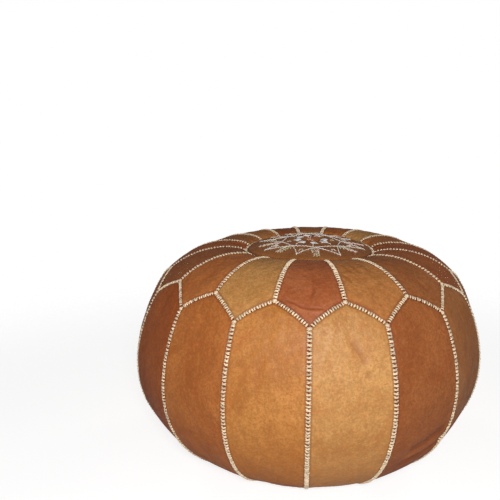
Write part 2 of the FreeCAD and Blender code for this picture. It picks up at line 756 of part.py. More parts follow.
def make_filling(doc):
    """The wadding, packed to the shape of the bag."""
    body = new_body(doc, "filling")
    sketch = new_sketch(body, "XZ_Plane", "filling_section")
    floor = size("filling_floor")
    lower, roof = bag_outline(sketch, -size("filling_gap"), "-Sizes.filling_gap",
                              (floor, "Sizes.filling_floor"),
                              (size("filling_roof"), "Sizes.filling_roof"))
    under = add_line(sketch, sketch.getPoint(lower, 1), Vector(0, floor, 0))
    meet(sketch, under, 1, lower, 1)
    sketch.addConstraint(Sketcher.Constraint("Horizontal", under))
    place_x(sketch, under, 2, 0, "0")
    join_ends(sketch, under, 2, roof, 2)
    revolve(body, sketch, "filling_turning", "360")
    return body


# ---------------------------------------------------------------- zip

def slab(body, name, low_x, high_x, low_y, high_y, height_formula, depth_formula):
    """A rectangular block on the body's XY plane, raised to a height."""
    sketch = new_sketch(body, "XY_Plane", f"{name}_outline")
    sketch.setExpression("AttachmentOffset.Base.z", height_formula)
    add_rectangle(sketch, low_x, high_x, low_y, high_y)
    return pad(body, sketch, name, depth_formula)


def make_zip_tape(doc, label, angle):
    body = new_body(doc, label)
    half = size("tape_length")
    slab(body, "tape", (-half, "-Sizes.tape_length"), (half, "Sizes.tape_length"),
         (size("tape_inner"), "Sizes.tape_inner"), (size("tape_outer"), "Sizes.tape_outer"),
         "Sizes.tape_height", "Sizes.tape_cloth")
    body.Placement = turned(angle)
    return body


def make_zip_teeth(doc, label, angle):
    """A bead along the tape with a row of teeth on its inner side."""
    body = new_body(doc, label)
    half, tooth = size("coil_length"), size("tooth_width")
    slab(body, "bead", (-half, "-Sizes.coil_length"), (half, "Sizes.coil_length"),
         (size("coil_middle"), "Sizes.coil_middle"), (size("coil_outer"), "Sizes.coil_outer"),
         "Sizes.coil_height", "Sizes.coil_depth")
    first = slab(body, "tooth", (-half, "-Sizes.coil_length"),
                 (tooth - half, "Sizes.tooth_width - Sizes.coil_length"),
                 (size("coil_inner"), "Sizes.coil_inner"),
                 (size("coil_middle"), "Sizes.coil_middle"),
                 "Sizes.coil_height", "Sizes.coil_depth")
    doc.recompute()
    row = body.newObject("PartDesign::LinearPattern", "teeth")
    row.Originals = [first]
    row.Direction = (origin_plane(body, "X_Axis"), [""])
    row.setExpression("Occurrences", "floor(2 * Sizes.coil_length / Sizes.tooth_pitch)")
    row.setExpression("Length", "2 * Sizes.coil_length - Sizes.tooth_pitch")
    body.Tip = row
    body.Placement = turned(angle)
    return body


def make_zip_stops(doc):
    """The two clips that end the slider's run."""
    body = new_body(doc, "zip_stops")
    near = size("coil_length") + size("tooth_width")
    far = near + size("stop_length")
    near_x = "Sizes.coil_length + Sizes.tooth_width"
    far_x = f"{near_x} + Sizes.stop_length"
    width = (size("coil_outer"), "Sizes.coil_outer")
    other = (-size("coil_outer"), "-Sizes.coil_outer")
    slab(body, "closed_stop", (near, near_x), (far, far_x), other, width,
         "Sizes.coil_height", "Sizes.coil_depth")
    slab(body, "open_stop", (-far, f"-({far_x})"), (-near, f"-({near_x})"), other, width,
         "Sizes.coil_height", "Sizes.coil_depth")
    return body


def make_zip_stitching(doc):
    """Two rows of stitches that hold the tapes to the base leather."""
    body = new_body(doc, "zip_stitching")
    row, half = size("zip_stitch_row"), size("zip_stitch_width") / 2
    start = -size("coil_length")
    end = start + size("zip_stitch_length")
    first = []
    for name, sign, flip in (("back_stitch", 1, ""), ("front_stitch", -1, "-")):
        low = (sign * row - half, f"{flip}Sizes.zip_stitch_row - Sizes.zip_stitch_width / 2")
        high = (sign * row + half, f"{flip}Sizes.zip_stitch_row + Sizes.zip_stitch_width / 2")
        first.append(slab(body, name, (start, "-Sizes.coil_length"),
                          (end, "Sizes.zip_stitch_length - Sizes.coil_length"), low, high,
                          "Sizes.zip_stitch_height", "Sizes.zip_stitch_depth"))
    doc.recompute()
    rows = body.newObject("PartDesign::LinearPattern", "stitches")
    rows.Originals = first
    rows.Direction = (origin_plane(body, "X_Axis"), [""])
    rows.setExpression("Occurrences", "floor(2 * Sizes.coil_length / Sizes.zip_stitch_pitch)")
    rows.setExpression("Length", "2 * Sizes.coil_length - Sizes.zip_stitch_pitch")
    body.Tip = rows
    return body


def slider_plate(body, name, height_formula):
    """A plate with a wide nose and a narrower tail."""
    sketch = new_sketch(body, "XY_Plane", f"{name}_outline")
    sketch.setExpression("AttachmentOffset.Base.z", height_formula)
    middle, reach = size("zip_travel"), size("slider_length")
    nose, tail = size("slider_width"), size("slider_waist")
    front = (middle + reach, "Sizes.zip_travel + Sizes.slider_length")
    centre = (middle, "Sizes.zip_travel")
    back = (middle - reach, "Sizes.zip_travel - Sizes.slider_length")
    add_polygon(sketch, [
        (*back, -tail, "-Sizes.slider_waist"),
        (*centre, -nose, "-Sizes.slider_width"),
        (*front, -tail, "-Sizes.slider_waist"),
        (*front, tail, "Sizes.slider_waist"),
        (*centre, nose, "Sizes.slider_width"),
        (*back, tail, "Sizes.slider_waist"),
    ])
    return pad(body, sketch, name, "Sizes.slider_plate")


def make_zip_slider(doc):
    """Two plates joined by a post, with a bridge below that carries the pull."""
    body = new_body(doc, "zip_slider")
    middle = size("zip_travel")
    slider_plate(body, "lower_plate", "Sizes.slider_lower")
    post = size("slider_post")
    slab(body, "post", (middle, "Sizes.zip_travel"),
         (middle + size("slider_length"), "Sizes.zip_travel + Sizes.slider_length"),
         (-post, "-Sizes.slider_post"), (post, "Sizes.slider_post"),
         "Sizes.slider_lower", "Sizes.slider_upper - Sizes.slider_lower")
    slider_plate(body, "upper_plate", "Sizes.slider_upper")
    bridge, bar = size("bridge_length"), size("bridge_bar")
    low, high = size("bridge_low"), size("slider_lower")
    ends = ((middle - bridge, "Sizes.zip_travel - Sizes.bridge_length"),
            (middle + bridge, "Sizes.zip_travel + Sizes.bridge_length"))
    inner = ((middle - bridge + bar, "Sizes.zip_travel - Sizes.bridge_length + Sizes.bridge_bar"),
             (middle + bridge - bar, "Sizes.zip_travel + Sizes.bridge_length - Sizes.bridge_bar"))
    beam = (low + bar * 0.75, "Sizes.bridge_low + Sizes.bridge_bar * 0.75")
    floor = (low, "Sizes.bridge_low")
    plate = (high, "Sizes.slider_lower")
    sketch = new_sketch(body, "XZ_Plane", "bridge_outline")
    add_polygon(sketch, [
        (*ends[0], *plate), (*ends[0], *floor), (*ends[1], *floor), (*ends[1], *plate),
        (*inner[1], *plate), (*inner[1], *beam), (*inner[0], *beam), (*inner[0], *plate),
    ])
    pad(body, sketch, "bridge", "2 * Sizes.bridge_width", symmetric=True)
    return body


def make_zip_pull(doc):
    """A flat tab with a slot at its root, closed by the round pin that it turns on."""
    body = new_body(doc, "zip_pull")
    pin_x, width, slot = size("zip_travel"), size("pull_width"), size("pull_slot")
    end_x = pin_x - size("pull_length")
    slot_x = pin_x - size("pull_slot_end")
    sketch = new_sketch(body, "XY_Plane", "tab_outline")
    sketch.setExpression("AttachmentOffset.Base.z", "Sizes.pin_height - Sizes.pin_radius")
    root = (pin_x, "Sizes.zip_travel")
    tip = (end_x, "Sizes.zip_travel - Sizes.pull_length")
    slot_end = (slot_x, "Sizes.zip_travel - Sizes.pull_slot_end")
    add_polygon(sketch, [
        (*root, width, "Sizes.pull_width"),
        (*tip, width, "Sizes.pull_width"),
        (*tip, -width, "-Sizes.pull_width"),
        (*root, -width, "-Sizes.pull_width"),
        (*root, -slot, "-Sizes.pull_slot"),
        (*slot_end, -slot, "-Sizes.pull_slot"),
        (*slot_end, slot, "Sizes.pull_slot"),
        (*root, slot, "Sizes.pull_slot"),
    ])
    pad(body, sketch, "tab", "2 * Sizes.pin_radius")
    pin = new_sketch(body, "XZ_Plane", "pin_outline")
    circle = pin.addGeometry(Part.Circle(Vector(pin_x, size("pin_height"), 0), UP,
                                         size("pin_radius")))
    place_x(pin, circle, 3, pin_x, "Sizes.zip_travel")
    place_y(pin, circle, 3, size("pin_height"), "Sizes.pin_height")
    bind(pin, "Radius", (circle,), size("pin_radius"), "Sizes.pin_radius")
    pad(body, pin, "pin", "2 * Sizes.pull_width", symmetric=True)
    return body


# ---------------------------------------------------------------- the whole pouf

def make_parts(doc):
    count = size("panel_count")
    parts = [make_medallion(doc)]
    parts += [make_petal(doc, index) for index in range(count)]
    parts += [make_side_panel(doc, index) for index in range(count)]
    parts += [make_base_half(doc, "base_half_back", 0), make_base_half(doc, "base_half_front", 180)]
    parts += [make_medallion_stitching(doc), make_petal_seam_stitching(doc),
              make_petal_edge_stitching(doc), make_side_seam_stitching(doc),
              make_base_stitching(doc)]
    parts += [make_embroidery_star(doc), make_embroidery_squares(doc),
              make_embroidery_rosette(doc), make_embroidery_sprigs(doc)]
    parts += [make_liner_bag(doc), make_filling(doc)]
    parts += [make_zip_tape(doc, "zip_tape_back", 0), make_zip_tape(doc, "zip_tape_front", 180),
              make_zip_teeth(doc, "zip_teeth_back", 0), make_zip_teeth(doc, "zip_teeth_front", 180),
              make_zip_stops(doc), make_zip_stitching(doc),
              make_zip_slider(doc), make_zip_pull(doc)]
    return parts


def check(doc, parts):
    for obj in doc.Objects:
        if "Invalid" in obj.State or "Error" in obj.State:
            raise RuntimeError(f"{obj.Label} failed: {obj.State}")
    for part in parts:
        if part.Shape.isNull() or not part.Shape.isValid() or not part.Shape.Solids:
            raise RuntimeError(f"{part.Label} has no valid solid")


def export(parts):
    os.makedirs("parts", exist_ok=True)
    for part in parts:
        part.Shape.exportStep(f"parts/{part.Label}.step")


def main():
    doc = FreeCAD.newDocument("leather_pouf")
    make_sheet(doc)
    parts = make_parts(doc)
    doc.recompute()
    check(doc, parts)
    export(parts)


main()
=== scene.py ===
from math import acos, asin, atan2, cos, pi, radians, sin, sqrt

import bpy
import numpy as np
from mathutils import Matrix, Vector
from mathutils.bvhtree import BVHTree


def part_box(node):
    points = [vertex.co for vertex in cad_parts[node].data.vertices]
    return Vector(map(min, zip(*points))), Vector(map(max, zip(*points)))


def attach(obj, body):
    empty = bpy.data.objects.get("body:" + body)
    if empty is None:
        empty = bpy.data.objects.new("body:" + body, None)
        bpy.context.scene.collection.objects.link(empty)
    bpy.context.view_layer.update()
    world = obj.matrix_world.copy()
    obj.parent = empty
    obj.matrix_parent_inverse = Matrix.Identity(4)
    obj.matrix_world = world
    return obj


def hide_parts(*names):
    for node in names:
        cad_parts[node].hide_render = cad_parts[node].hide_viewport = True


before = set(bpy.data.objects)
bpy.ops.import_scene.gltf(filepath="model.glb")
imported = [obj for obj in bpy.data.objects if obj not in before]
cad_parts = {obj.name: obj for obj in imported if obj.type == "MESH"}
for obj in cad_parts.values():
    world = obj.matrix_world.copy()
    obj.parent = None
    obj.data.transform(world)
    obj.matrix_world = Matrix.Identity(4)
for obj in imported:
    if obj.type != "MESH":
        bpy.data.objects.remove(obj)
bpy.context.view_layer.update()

# A round leather pouf: cloth-simulated leather pieces, hand-stitched seams, embroidery on
# the medallion and a zip under the base. Metres; azimuths run counterclockwise from -Y.

MM = 0.001
SEED = 7

# ---- sizes

COUNT = 16  # petals, and side panels
PITCH = 2 * pi / COUNT
HALF = PITCH / 2

GIRTH = float(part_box("side_panel_05")[1][0])  # widest radius
GIRTH_HEIGHT = 148 * MM
UPPER_WALL = 225 * MM  # section radius above the girth
SHOULDER = 130 * MM  # section radius over the shoulder
SHOULDER_TOP = float(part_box("petal_01")[1][2])
LOWER_WALL = 162 * MM  # section radius below the girth
RING_SEAM = 97 * MM  # medallion to petals
BASE_SEAM = 150 * MM  # side panels to base
TIP_RADIUS = 239 * MM  # petal tips
PEAK_RADIUS = 216 * MM  # side panel peaks
MEDALLION_TOP = float(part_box("medallion")[1][2])
MEDALLION_DOME = 480 * MM
MEDALLION_RIM = 12 * MM
MEDALLION_EDGE = RING_SEAM + 2.8 * MM  # its edge reaches in under the petals'
MEDALLION_DROP = 5.4 * MM  # how far its edge turns down
BASE_UNDER = float(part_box("base_half_back")[0][2])
BASE_RADIUS = float(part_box("base_half_back")[1][1])
BASE_SLOT = float(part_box("base_half_back")[0][1])

LEATHER = 2.2 * MM
ROLL_WIDTH = 3.2 * MM  # how far in a cut edge starts to turn down
ROLL_DEPTH = 2.0 * MM
FLOOR_GAP = 0.3 * MM
FOOT_PUCKER = 1.5 * MM  # room for the stitches under the foot
FOOT_RISE, FOOT_REACH = 2.6 * MM, 7 * MM  # the turn up to the base seam
RING_DIP, RING_REACH = 3.2 * MM, 13 * MM  # the petals' dip to the ring seam

# how the stuffed pouf is out of true; heights are shares of the shoulder's
LEAN = (10.4 * MM, -8.2 * MM)
BULGE = (-0.0114, -0.0100, 0.0119)  # shares of the radius, 1 to 3 waves round
NECK, NECK_HEIGHT, NECK_REACH = 1.9 * MM, 0.75, 0.15
SAG_FRONT, SAG_SIDE, SAG_PAIR = 0.0045, 0.0065, -0.0064
TWIST_FOOT, TWIST_RISE, TWIST_SIDE, TWIST_FRONT = -0.0103, -0.0276, 0.0299, -0.0069


# ---- small helpers

def smooth(x):
    x = np.clip(x, 0, 1)
    return x * x * (3 - 2 * x)


def unit(v):
    return v / np.maximum(np.linalg.norm(v, axis=-1, keepdims=True), 1e-12)


def polar(radius, azimuth, height):
    """Points from a radius, an azimuth counterclockwise from -Y, and a height."""
    radius, azimuth, height = np.broadcast_arrays(radius, azimuth, height)
    return np.stack([radius * np.sin(azimuth), -radius * np.cos(azimuth), height], axis=-1)


def run_length(points):
    """Distance along a line of points, from 0."""
    return np.concatenate([[0], np.cumsum(np.linalg.norm(np.diff(points, axis=0), axis=1))])


def read_along(places, along, points):
    """The points of a line at places along it."""
    return np.stack([np.interp(places, along, column) for column in points.T], axis=-1)


def name_number(text):
    """A small repeatable number from a name."""
    number = 0
    for letter in text:
        number = (number * 131 + ord(letter)) % 100003
    return number


HASH_STEPS = np.array([374761393, 668265263, 2147483647])
HASH_SEED, HASH_MIX, HASH_WORD = 1274126177, 1103515245, 0xFFFFFFFF


def lattice_noise(points, scale, seed):
    """Smooth noise from -1 to 1 on any array of points, repeatable from its seed."""
    p = np.asarray(points, dtype=float) * scale + seed * 17.31
    cell = np.floor(p).astype(np.int64)
    part = p - cell
    part = part ** 3 * (part * (part * 6 - 15) + 10)
    total = np.zeros(p.shape[:-1])
    for corner in range(8):
        step = np.array([corner & 1, (corner >> 1) & 1, (corner >> 2) & 1])
        mix = ((cell + step) @ HASH_STEPS + seed * HASH_SEED) & HASH_WORD
        mix = ((mix ^ (mix >> 13)) * HASH_MIX) & HASH_WORD
        value = ((mix ^ (mix >> 16)) & 0xFFFF) / 32767.5 - 1
        total += value * np.prod(np.where(step, part, 1 - part), axis=-1)
    return total


def octaves(points, scale, seed, count=3):
    return sum(0.5 ** level * lattice_noise(points, scale * 2 ** level, seed + level)
               for level in range(count))


def dense_edges(length, step, first=0.8 * MM, growth=1.45):
    """Places from 0 to 1 along a length, close together at both ends."""
    ends, gap = [0.0], first
    while gap < step and ends[-1] + gap < length / 3:
        ends.append(ends[-1] + gap)
        gap *= growth
    middle = length - 2 * ends[-1]
    count = max(2, round(middle / step))
    inner = ends[-1] + middle * np.arange(1, count) / count
    return np.concatenate([ends, inner, length - np.array(ends[::-1])]) / length


def cubic_weights(places, count):
    """A matrix that reads a Catmull-Rom curve through evenly spaced samples."""
    position = np.asarray(places) * (count - 1)
    cell = np.clip(np.floor(position).astype(int), 0, count - 2)
    t = position - cell
    basis = [(-t + 2 * t ** 2 - t ** 3) / 2, (2 - 5 * t ** 2 + 3 * t ** 3) / 2,
             (t + 4 * t ** 2 - 3 * t ** 3) / 2, (-t ** 2 + t ** 3) / 2]
    matrix = np.zeros((len(position), count))
    for offset, weight in zip((-1, 0, 1, 2), basis):
        column = np.clip(cell + offset, 0, count - 1)
        np.add.at(matrix, (np.arange(len(position)), column), weight)
    return matrix


def resample(grid, rows, columns):
    """Read an evenly spaced grid of vectors at other rows and columns, from 0 to 1."""
    return np.einsum("ri,ijk,cj->rck", cubic_weights(rows, grid.shape[0]), grid,
                     cubic_weights(columns, grid.shape[1]))


def grid_normals(grid, closed=False):
    """Unit normals of a grid whose rows run down and whose columns run rightwards."""
    normals = unit(np.cross(np.gradient(grid, axis=0), np.gradient(grid, axis=1)))
    if closed:
        normals[:, 0] = normals[:, -1] = unit(normals[:, 0] + normals[:, -1])
    return normals


def grid_faces(rows, columns, start=0, flip=False, closed=False):
    """Quads of a grid. A closed one's last column joins its first."""
    i, j = np.meshgrid(np.arange(rows - 1), np.arange(columns - 1), indexing="ij")
    a = (start + i * columns + j).ravel()
    quads = np.stack([a, a + columns, a + columns + 1, a + 1], axis=1)
    if closed:
        last = start + np.arange(1, rows) * columns - 1
        seam = np.stack([last, last + columns, last + 1, last + 1 - columns], axis=1)
        quads = np.concatenate([quads, seam])
    return quads[:, ::-1] if flip else quads


def fan(centre, ring):
    """Triangles from a point to the ring of points round it."""
    return np.stack([np.full_like(ring, centre), ring, np.roll(ring, -1)], axis=1)


def new_mesh(name, points, *faces):
    """A mesh from points and any number of arrays of faces."""
    mesh = bpy.data.meshes.new(name)
    mesh.from_pydata(np.reshape(points, (-1, 3)).tolist(), [],
                     [face for group in faces for face in np.asarray(group).tolist()])
    mesh.update()
    return mesh


def new_object(name, data):
    obj = bpy.data.objects.new(name, data)
    bpy.context.scene.collection.objects.link(obj)
    return obj


def smooth_object(name, mesh, **values):
    """A smoothly shaded object that keeps a number at each point under each given name."""
    for label, numbers in values.items():
        attribute = mesh.attributes.new(label, "FLOAT", "POINT")
        attribute.data.foreach_set("value", np.asarray(numbers, np.float32))
    mesh.shade_smooth()
    return new_object(name, mesh)


# ---- section of the cover

def build_section():
    """Arc length, radius and height of the cover, from the ring seam to the base seam."""
    wall_r = GIRTH - UPPER_WALL
    shoulder_z = SHOULDER_TOP - SHOULDER
    shoulder_r = wall_r + sqrt((UPPER_WALL - SHOULDER) ** 2 - (shoulder_z - GIRTH_HEIGHT) ** 2)
    start = acos((RING_SEAM - shoulder_r) / SHOULDER)
    meeting = atan2(shoulder_z - GIRTH_HEIGHT, shoulder_r - wall_r)
    floor = -asin(GIRTH_HEIGHT / LOWER_WALL)
    arcs = [(shoulder_r, shoulder_z, SHOULDER, start, meeting),
            (wall_r, GIRTH_HEIGHT, UPPER_WALL, meeting, 0),
            (GIRTH - LOWER_WALL, GIRTH_HEIGHT, LOWER_WALL, 0, floor)]
    line = []
    for centre_r, centre_z, size, first, last in arcs:
        angle = np.linspace(first, last, 200)
        line += zip(centre_r + size * np.cos(angle), centre_z + size * np.sin(angle))
    line += [(radius, 0.0) for radius in np.linspace(line[-1][0], BASE_SEAM, 40)]
    line = np.array(line)
    length = run_length(line)
    even = np.linspace(0, length[-1], 600)
    # the corner at the floor is soft, and the last few millimetres turn up to the seam
    kernel = np.exp(-np.linspace(-2, 2, 25) ** 2)
    reach = len(kernel) // 2
    padded = np.pad(read_along(even, length, line), ((reach, reach), (0, 0)),
                    mode="reflect", reflect_type="odd")
    radius, height = (np.convolve(column, kernel / kernel.sum(), "valid") for column in padded.T)
    height += FOOT_RISE * smooth((BASE_SEAM + FOOT_REACH - radius) / FOOT_REACH) * (even > 0.2)
    length = run_length(np.column_stack([radius, height]))
    return length, radius, np.maximum(height, 0.2 * MM)


SECTION_S, SECTION_R, SECTION_Z = build_section()
SECTION_END = float(SECTION_S[-1])


def zigzag_place(from_tip):
    """Arc length of the seam between petals and panels, by the angle from a petal's tip."""
    plan = (TIP_RADIUS * PEAK_RADIUS * sin(HALF)
            / (TIP_RADIUS * np.sin(from_tip) + PEAK_RADIUS * np.sin(HALF - from_tip)))
    shoulder = slice(int(np.argmax(SECTION_Z)), int(np.argmax(SECTION_R)))
    return np.interp(plan, SECTION_R[shoulder], SECTION_S[shoulder])


def soften(points):
    """The whole pouf leans, sags and twists a little, as a hand-stuffed one does."""
    height = points[..., 2] / SHOULDER_TOP
    azimuth = np.arctan2(points[..., 0], -points[..., 1])
    sine, cosine = np.sin(azimuth), np.cos(azimuth)
    bulge = sum(share * np.sin((wave + 1) * azimuth) for wave, share in enumerate(BULGE))
    radius = (np.hypot(points[..., 0], points[..., 1]) * (1 + bulge)
              - NECK * np.exp(-((height - NECK_HEIGHT) / NECK_REACH) ** 2))
    sag = SAG_FRONT * cosine + SAG_SIDE * sine + SAG_PAIR * np.cos(2 * azimuth)
    twist = TWIST_FOOT + (TWIST_SIDE * sine + TWIST_FRONT * cosine + TWIST_RISE) * height
    out = polar(radius, azimuth + twist, points[..., 2] * (1 - sag * smooth(height)))
    out[..., :2] += np.array(LEAN) * smooth(height)[..., None]
    return out


def cover_point(centre, local, place, flat):
    """A point of the cover. Flat 0 is round in plan, and 1 is straight from seam to seam."""
    radius = np.interp(place, SECTION_S, SECTION_R)
    height = np.interp(place, SECTION_S, SECTION_Z)
    height = height - RING_DIP * (1 - smooth(place / RING_REACH))
    chord = cos(HALF) / np.cos(local)
    return soften(polar(radius * (1 - flat * (1 - chord)), centre + local, height))


# ---- shapes of the pieces

class Piece:
    """A petal or a side panel. Rows run outwards and down, columns counterclockwise."""
    closed = False

    def __init__(self, index):
        self.name = f"{self.kind}_{index + 1:02d}"
        self.centre = (index + self.turn) * PITCH

    def places(self, rows, columns):
        """Angles from the middle, section lengths, and their distances from both ends."""
        local = (columns[None, :] - 0.5) * PITCH
        start, end = self.ends(np.abs(local))
        place = start + (end - start) * rows[:, None]
        return local, place, place - start, end - place

    def base(self, rows, columns):
        """The piece before it is blown out."""
        local, place, above, below = self.places(rows, columns)
        flat = self.flat * smooth(above / self.ease[0]) * smooth(below / self.ease[1])
        return cover_point(self.centre, local, place, flat)

    def edge_distance(self, rows, columns):
        local, place, above, below = self.places(rows, columns)
        sides = np.interp(place, SECTION_S, SECTION_R) * (HALF - np.abs(local))
        return np.minimum(np.minimum(sides, self.skew[0] * above), self.skew[1] * below)


class Panel(Piece):
    kind, turn, flat = "side_panel", 0.5, 0.55
    ease = (0.07, 0.09)
    skew = (0.8, 1.0)  # the peaked end is cut at a slant
    coarse = (np.linspace(0, 1, 90), np.linspace(0, 1, 27))
    fine = (dense_edges(0.36, 3.0 * MM), dense_edges(GIRTH * PITCH, 2.8 * MM))

    def ends(self, from_middle):
        return zigzag_place(HALF - from_middle), SECTION_END


class Petal(Piece):
    kind, turn, flat = "petal", 0, 0.45
    ease = (0.04, 0.06)
    skew = (1.0, 0.8)  # the pointed end is cut at a slant
    coarse = (np.linspace(0, 1, 36), np.linspace(0, 1, 22))
    fine = (dense_edges(0.142, 1.8 * MM), dense_edges(0.078, 1.8 * MM))

    def ends(self, from_middle):
        return 0.0, zigzag_place(from_middle)


class Medallion:
    """The round piece in the middle. Rows run from its centre to the ring seam."""
    name, closed = "medallion", True
    coarse = (np.linspace(0, 1, 27), np.linspace(0, 1, 97))
    across = dense_edges(2 * MEDALLION_EDGE, 2.4 * MM)
    fine = (across[across >= 0.5] * 2 - 1, np.linspace(0, 1, 193))

    def base(self, rows, columns):
        """A shallow dome with its edge rolled down to the ring seam."""
        radius = np.maximum(rows[:, None] * MEDALLION_EDGE, 0.4 * MM)
        dome = MEDALLION_TOP - MEDALLION_DOME + np.sqrt(MEDALLION_DOME ** 2 - radius ** 2)
        fall = np.clip((radius - MEDALLION_EDGE + MEDALLION_RIM) / MEDALLION_RIM, 0, 1)
        height = dome - MEDALLION_DROP * (1 - np.sqrt(1 - fall ** 2 * 0.97))
        return soften(polar(radius, columns[None, :] * 2 * pi, height))

    def edge_distance(self, rows, columns):
        return (1 - rows[:, None]) * MEDALLION_EDGE * np.ones_like(columns[None, :])


PANELS = [Panel(i) for i in range(COUNT)]
PETALS = [Petal(i) for i in range(COUNT)]


# ---- cloth simulation

SIM_FRAMES = 18
SIM_CAP = 9 * MM  # how far a point may move
SLACK_REACH = 26 * MM  # the cloth has extra length near seams
PINNED = 0.3 * MM
CLOTH = {"quality": 6, "mass": 0.25, "tension_stiffness": 40, "compression_stiffness": 40,
         "shear_stiffness": 20, "bending_stiffness": 1.5, "air_damping": 3,
         "use_pressure": True, "uniform_pressure_force": 4, "vertex_group_mass": "pinned",
         "pin_stiffness": 1, "vertex_group_shrink": "slack", "shrink_min": -0.002, "shrink_max": -0.035}


def simulate(pieces):
    """Blow all the leather pieces out against their seams, and return each one's moves."""
    grids = [piece.base(*piece.coarse) for piece in pieces]
    points, faces, pins, slack, start = [], [], [], [], 0
    for piece, grid in zip(pieces, grids):
        distance = piece.edge_distance(*piece.coarse)
        if piece.closed:
            grid, distance = grid[:, :-1], distance[:, :-1]
        rows, columns = distance.shape
        faces.append(grid_faces(rows, columns, start, closed=piece.closed))
        pins.append(start + np.flatnonzero(distance < PINNED))
        loose = smooth(1 - distance / SLACK_REACH) * (0.5 + 0.5 * lattice_noise(grid, 22, SEED))
        slack.append(np.clip(loose, 0, 1).ravel())
        points.append(grid.reshape(-1, 3))
        start += rows * columns
    mesh = new_mesh("cover_cloth", np.concatenate(points), *faces)
    obj = new_object("cover_cloth", mesh)
    obj.vertex_groups.new(name="pinned").add(np.concatenate(pins).tolist(), 1.0, "REPLACE")
    slack_group = obj.vertex_groups.new(name="slack")
    for index, weight in enumerate(np.concatenate(slack)):
        if weight > 0.01:
            slack_group.add([index], float(weight), "REPLACE")
    cloth = obj.modifiers.new("cloth", "CLOTH")
    for name, value in CLOTH.items():
        setattr(cloth.settings, name, value)
    cloth.settings.effector_weights.gravity = 0
    cloth.collision_settings.use_collision = False
    scene = bpy.context.scene
    for number in range(1, SIM_FRAMES + 1):
        scene.frame_set(number)
    result = obj.evaluated_get(bpy.context.evaluated_depsgraph_get()).data
    moved = np.empty(len(result.vertices) * 3)
    result.vertices.foreach_get("co", moved)
    moved = moved.reshape(-1, 3)
    bpy.data.objects.remove(obj)
    bpy.data.meshes.remove(mesh)
    scene.frame_set(1)
    moves, start = [], 0
    for piece, grid in zip(pieces, grids):
        rows, columns = grid.shape[:2]
        columns -= piece.closed
        part = moved[start:start + rows * columns].reshape(rows, columns, 3)
        start += rows * columns
        if piece.closed:
            part = np.concatenate([part, part[:, :1]], axis=1)
        move = part - grid
        length = np.linalg.norm(move, axis=-1, keepdims=True)
        moves.append(move * np.minimum(1, SIM_CAP / np.maximum(length, 1e-9)))
    return moves


# ---- leather surface

def ridge(points, line, width, height):
    """How far a rounded fold lifts each point. The line, width and height are in mm."""
    total = np.zeros(points.shape[:-1])
    line = np.array(line) * MM
    ends = np.linspace(0, 1, len(line))
    for first, second, start, end in zip(line[:-1], line[1:], ends[:-1], ends[1:]):
        run = second - first
        share = np.clip(((points - first) @ run) / (run @ run), 0, 1)
        distance = np.linalg.norm(points - (first + share[..., None] * run), axis=-1)
        along = start + share * (end - start)
        strength = smooth(along * 4 + 0.25) * smooth((1 - along) * 4 + 0.25)
        total = np.maximum(total, strength * np.exp(-(distance / (width * MM)) ** 2))
    return total * height * MM


def creases(piece, points, distance):
    """How far the leather stands out at each point: its broad swell, and its wrinkles."""
    seed = SEED + name_number(piece.name) % 97
    inside = smooth(distance / (9 * MM))
    swell = 0.7 * MM * octaves(points, 14, seed, 2)
    bent = points + 0.012 * np.stack(
        [octaves(points, 18, seed + 5 + axis, 2) for axis in range(3)], axis=-1)
    fold = 1 - np.abs(octaves(bent * np.array([1.0, 1.0, 0.45]), 38, seed + 11, 3))
    patch = smooth(octaves(points, 9, seed + 23, 2) * 1.2 + 0.45)
    long_fold = 1 - np.abs(lattice_noise(bent * np.array([1.0, 1.0, 0.6]), 13, seed + 51))
    wrinkle = 0.7 * MM * (fold ** 3 - 0.35) * patch - 0.5 * MM * long_fold ** 14
    fine = 0.14 * MM * (1 - np.abs(octaves(bent, 130, seed + 31, 2))) ** 2
    return swell * inside, wrinkle * inside + fine * smooth(distance / (4 * MM))


def petal_fan(points, rows):
    """Fine puckers that fan out from the ring seam."""
    azimuth = np.arctan2(points[..., 0], -points[..., 1])
    circle = np.stack([np.sin(azimuth), np.cos(azimuth), rows * 0.3], axis=-1)
    strength = 0.4 + 0.6 * smooth(lattice_noise(circle, 2.2, SEED + 3) + 0.5)
    return 0.95 * MM * octaves(circle, 26, SEED + 41, 2) * strength * np.exp(-rows * 2.6)


# folds of single pieces: a line of points, a width and a height, in millimetres
TIP_FOLD = [(-29, -218, 285.5), (-18, -222, 283.5), (-11, -226, 280.5), (-2.5, -228.5, 279),
            (8.5, -230, 278.5), (20, -229.5, 278.5)]
TIP_RIDGE = [(x, y - 2.4, z - 2.0) for x, y, z in TIP_FOLD]
FOLDS = {
    "petal_01": [
        (TIP_FOLD, 1.6, -1.6),
        (TIP_RIDGE, 1.8, 1.4),
        ([(9.5, -201.5, 298), (8.5, -203.5, 297), (6, -208.5, 293.5), (3, -214.5, 289.5)],
         2.2, -0.8)],
    "petal_02": [
        ([(44.5, -145.5, 314), (57.5, -171, 308)], 2.6, -0.8),
        ([(54.5, -139.5, 314), (70.5, -171, 306.5)], 2.4, -0.7),
        ([(67, -136, 313), (85.5, -163.5, 306)], 2.6, -0.8),
        ([(44.5, -175, 308), (60, -197, 298)], 2.8, -0.7),
        ([(74, -163, 308.5), (95.5, -183, 296.5)], 2.4, -0.6)],
    "side_panel_02": [
        ([(113, -216.5, 62.5), (141, -199, 63.5), (165, -189, 74), (184, -180, 92)], 6, -2.4),
        ([(119, -220, 74), (147, -204, 79), (172, -193, 92)], 6, 1.6),
        ([(126, -224.5, 86.5), (154, -209, 94.5), (179.5, -197, 111)], 6, -1.8)],
    "side_panel_01": [
        ([(48, -247, 246), (57, -250.5, 234.5), (68.5, -255, 216.5)], 4.5, -0.9),
        ([(63.5, -259, 203.5), (78, -254.5, 212.5), (94, -246.5, 224.5)], 4.5, -0.8)],
}


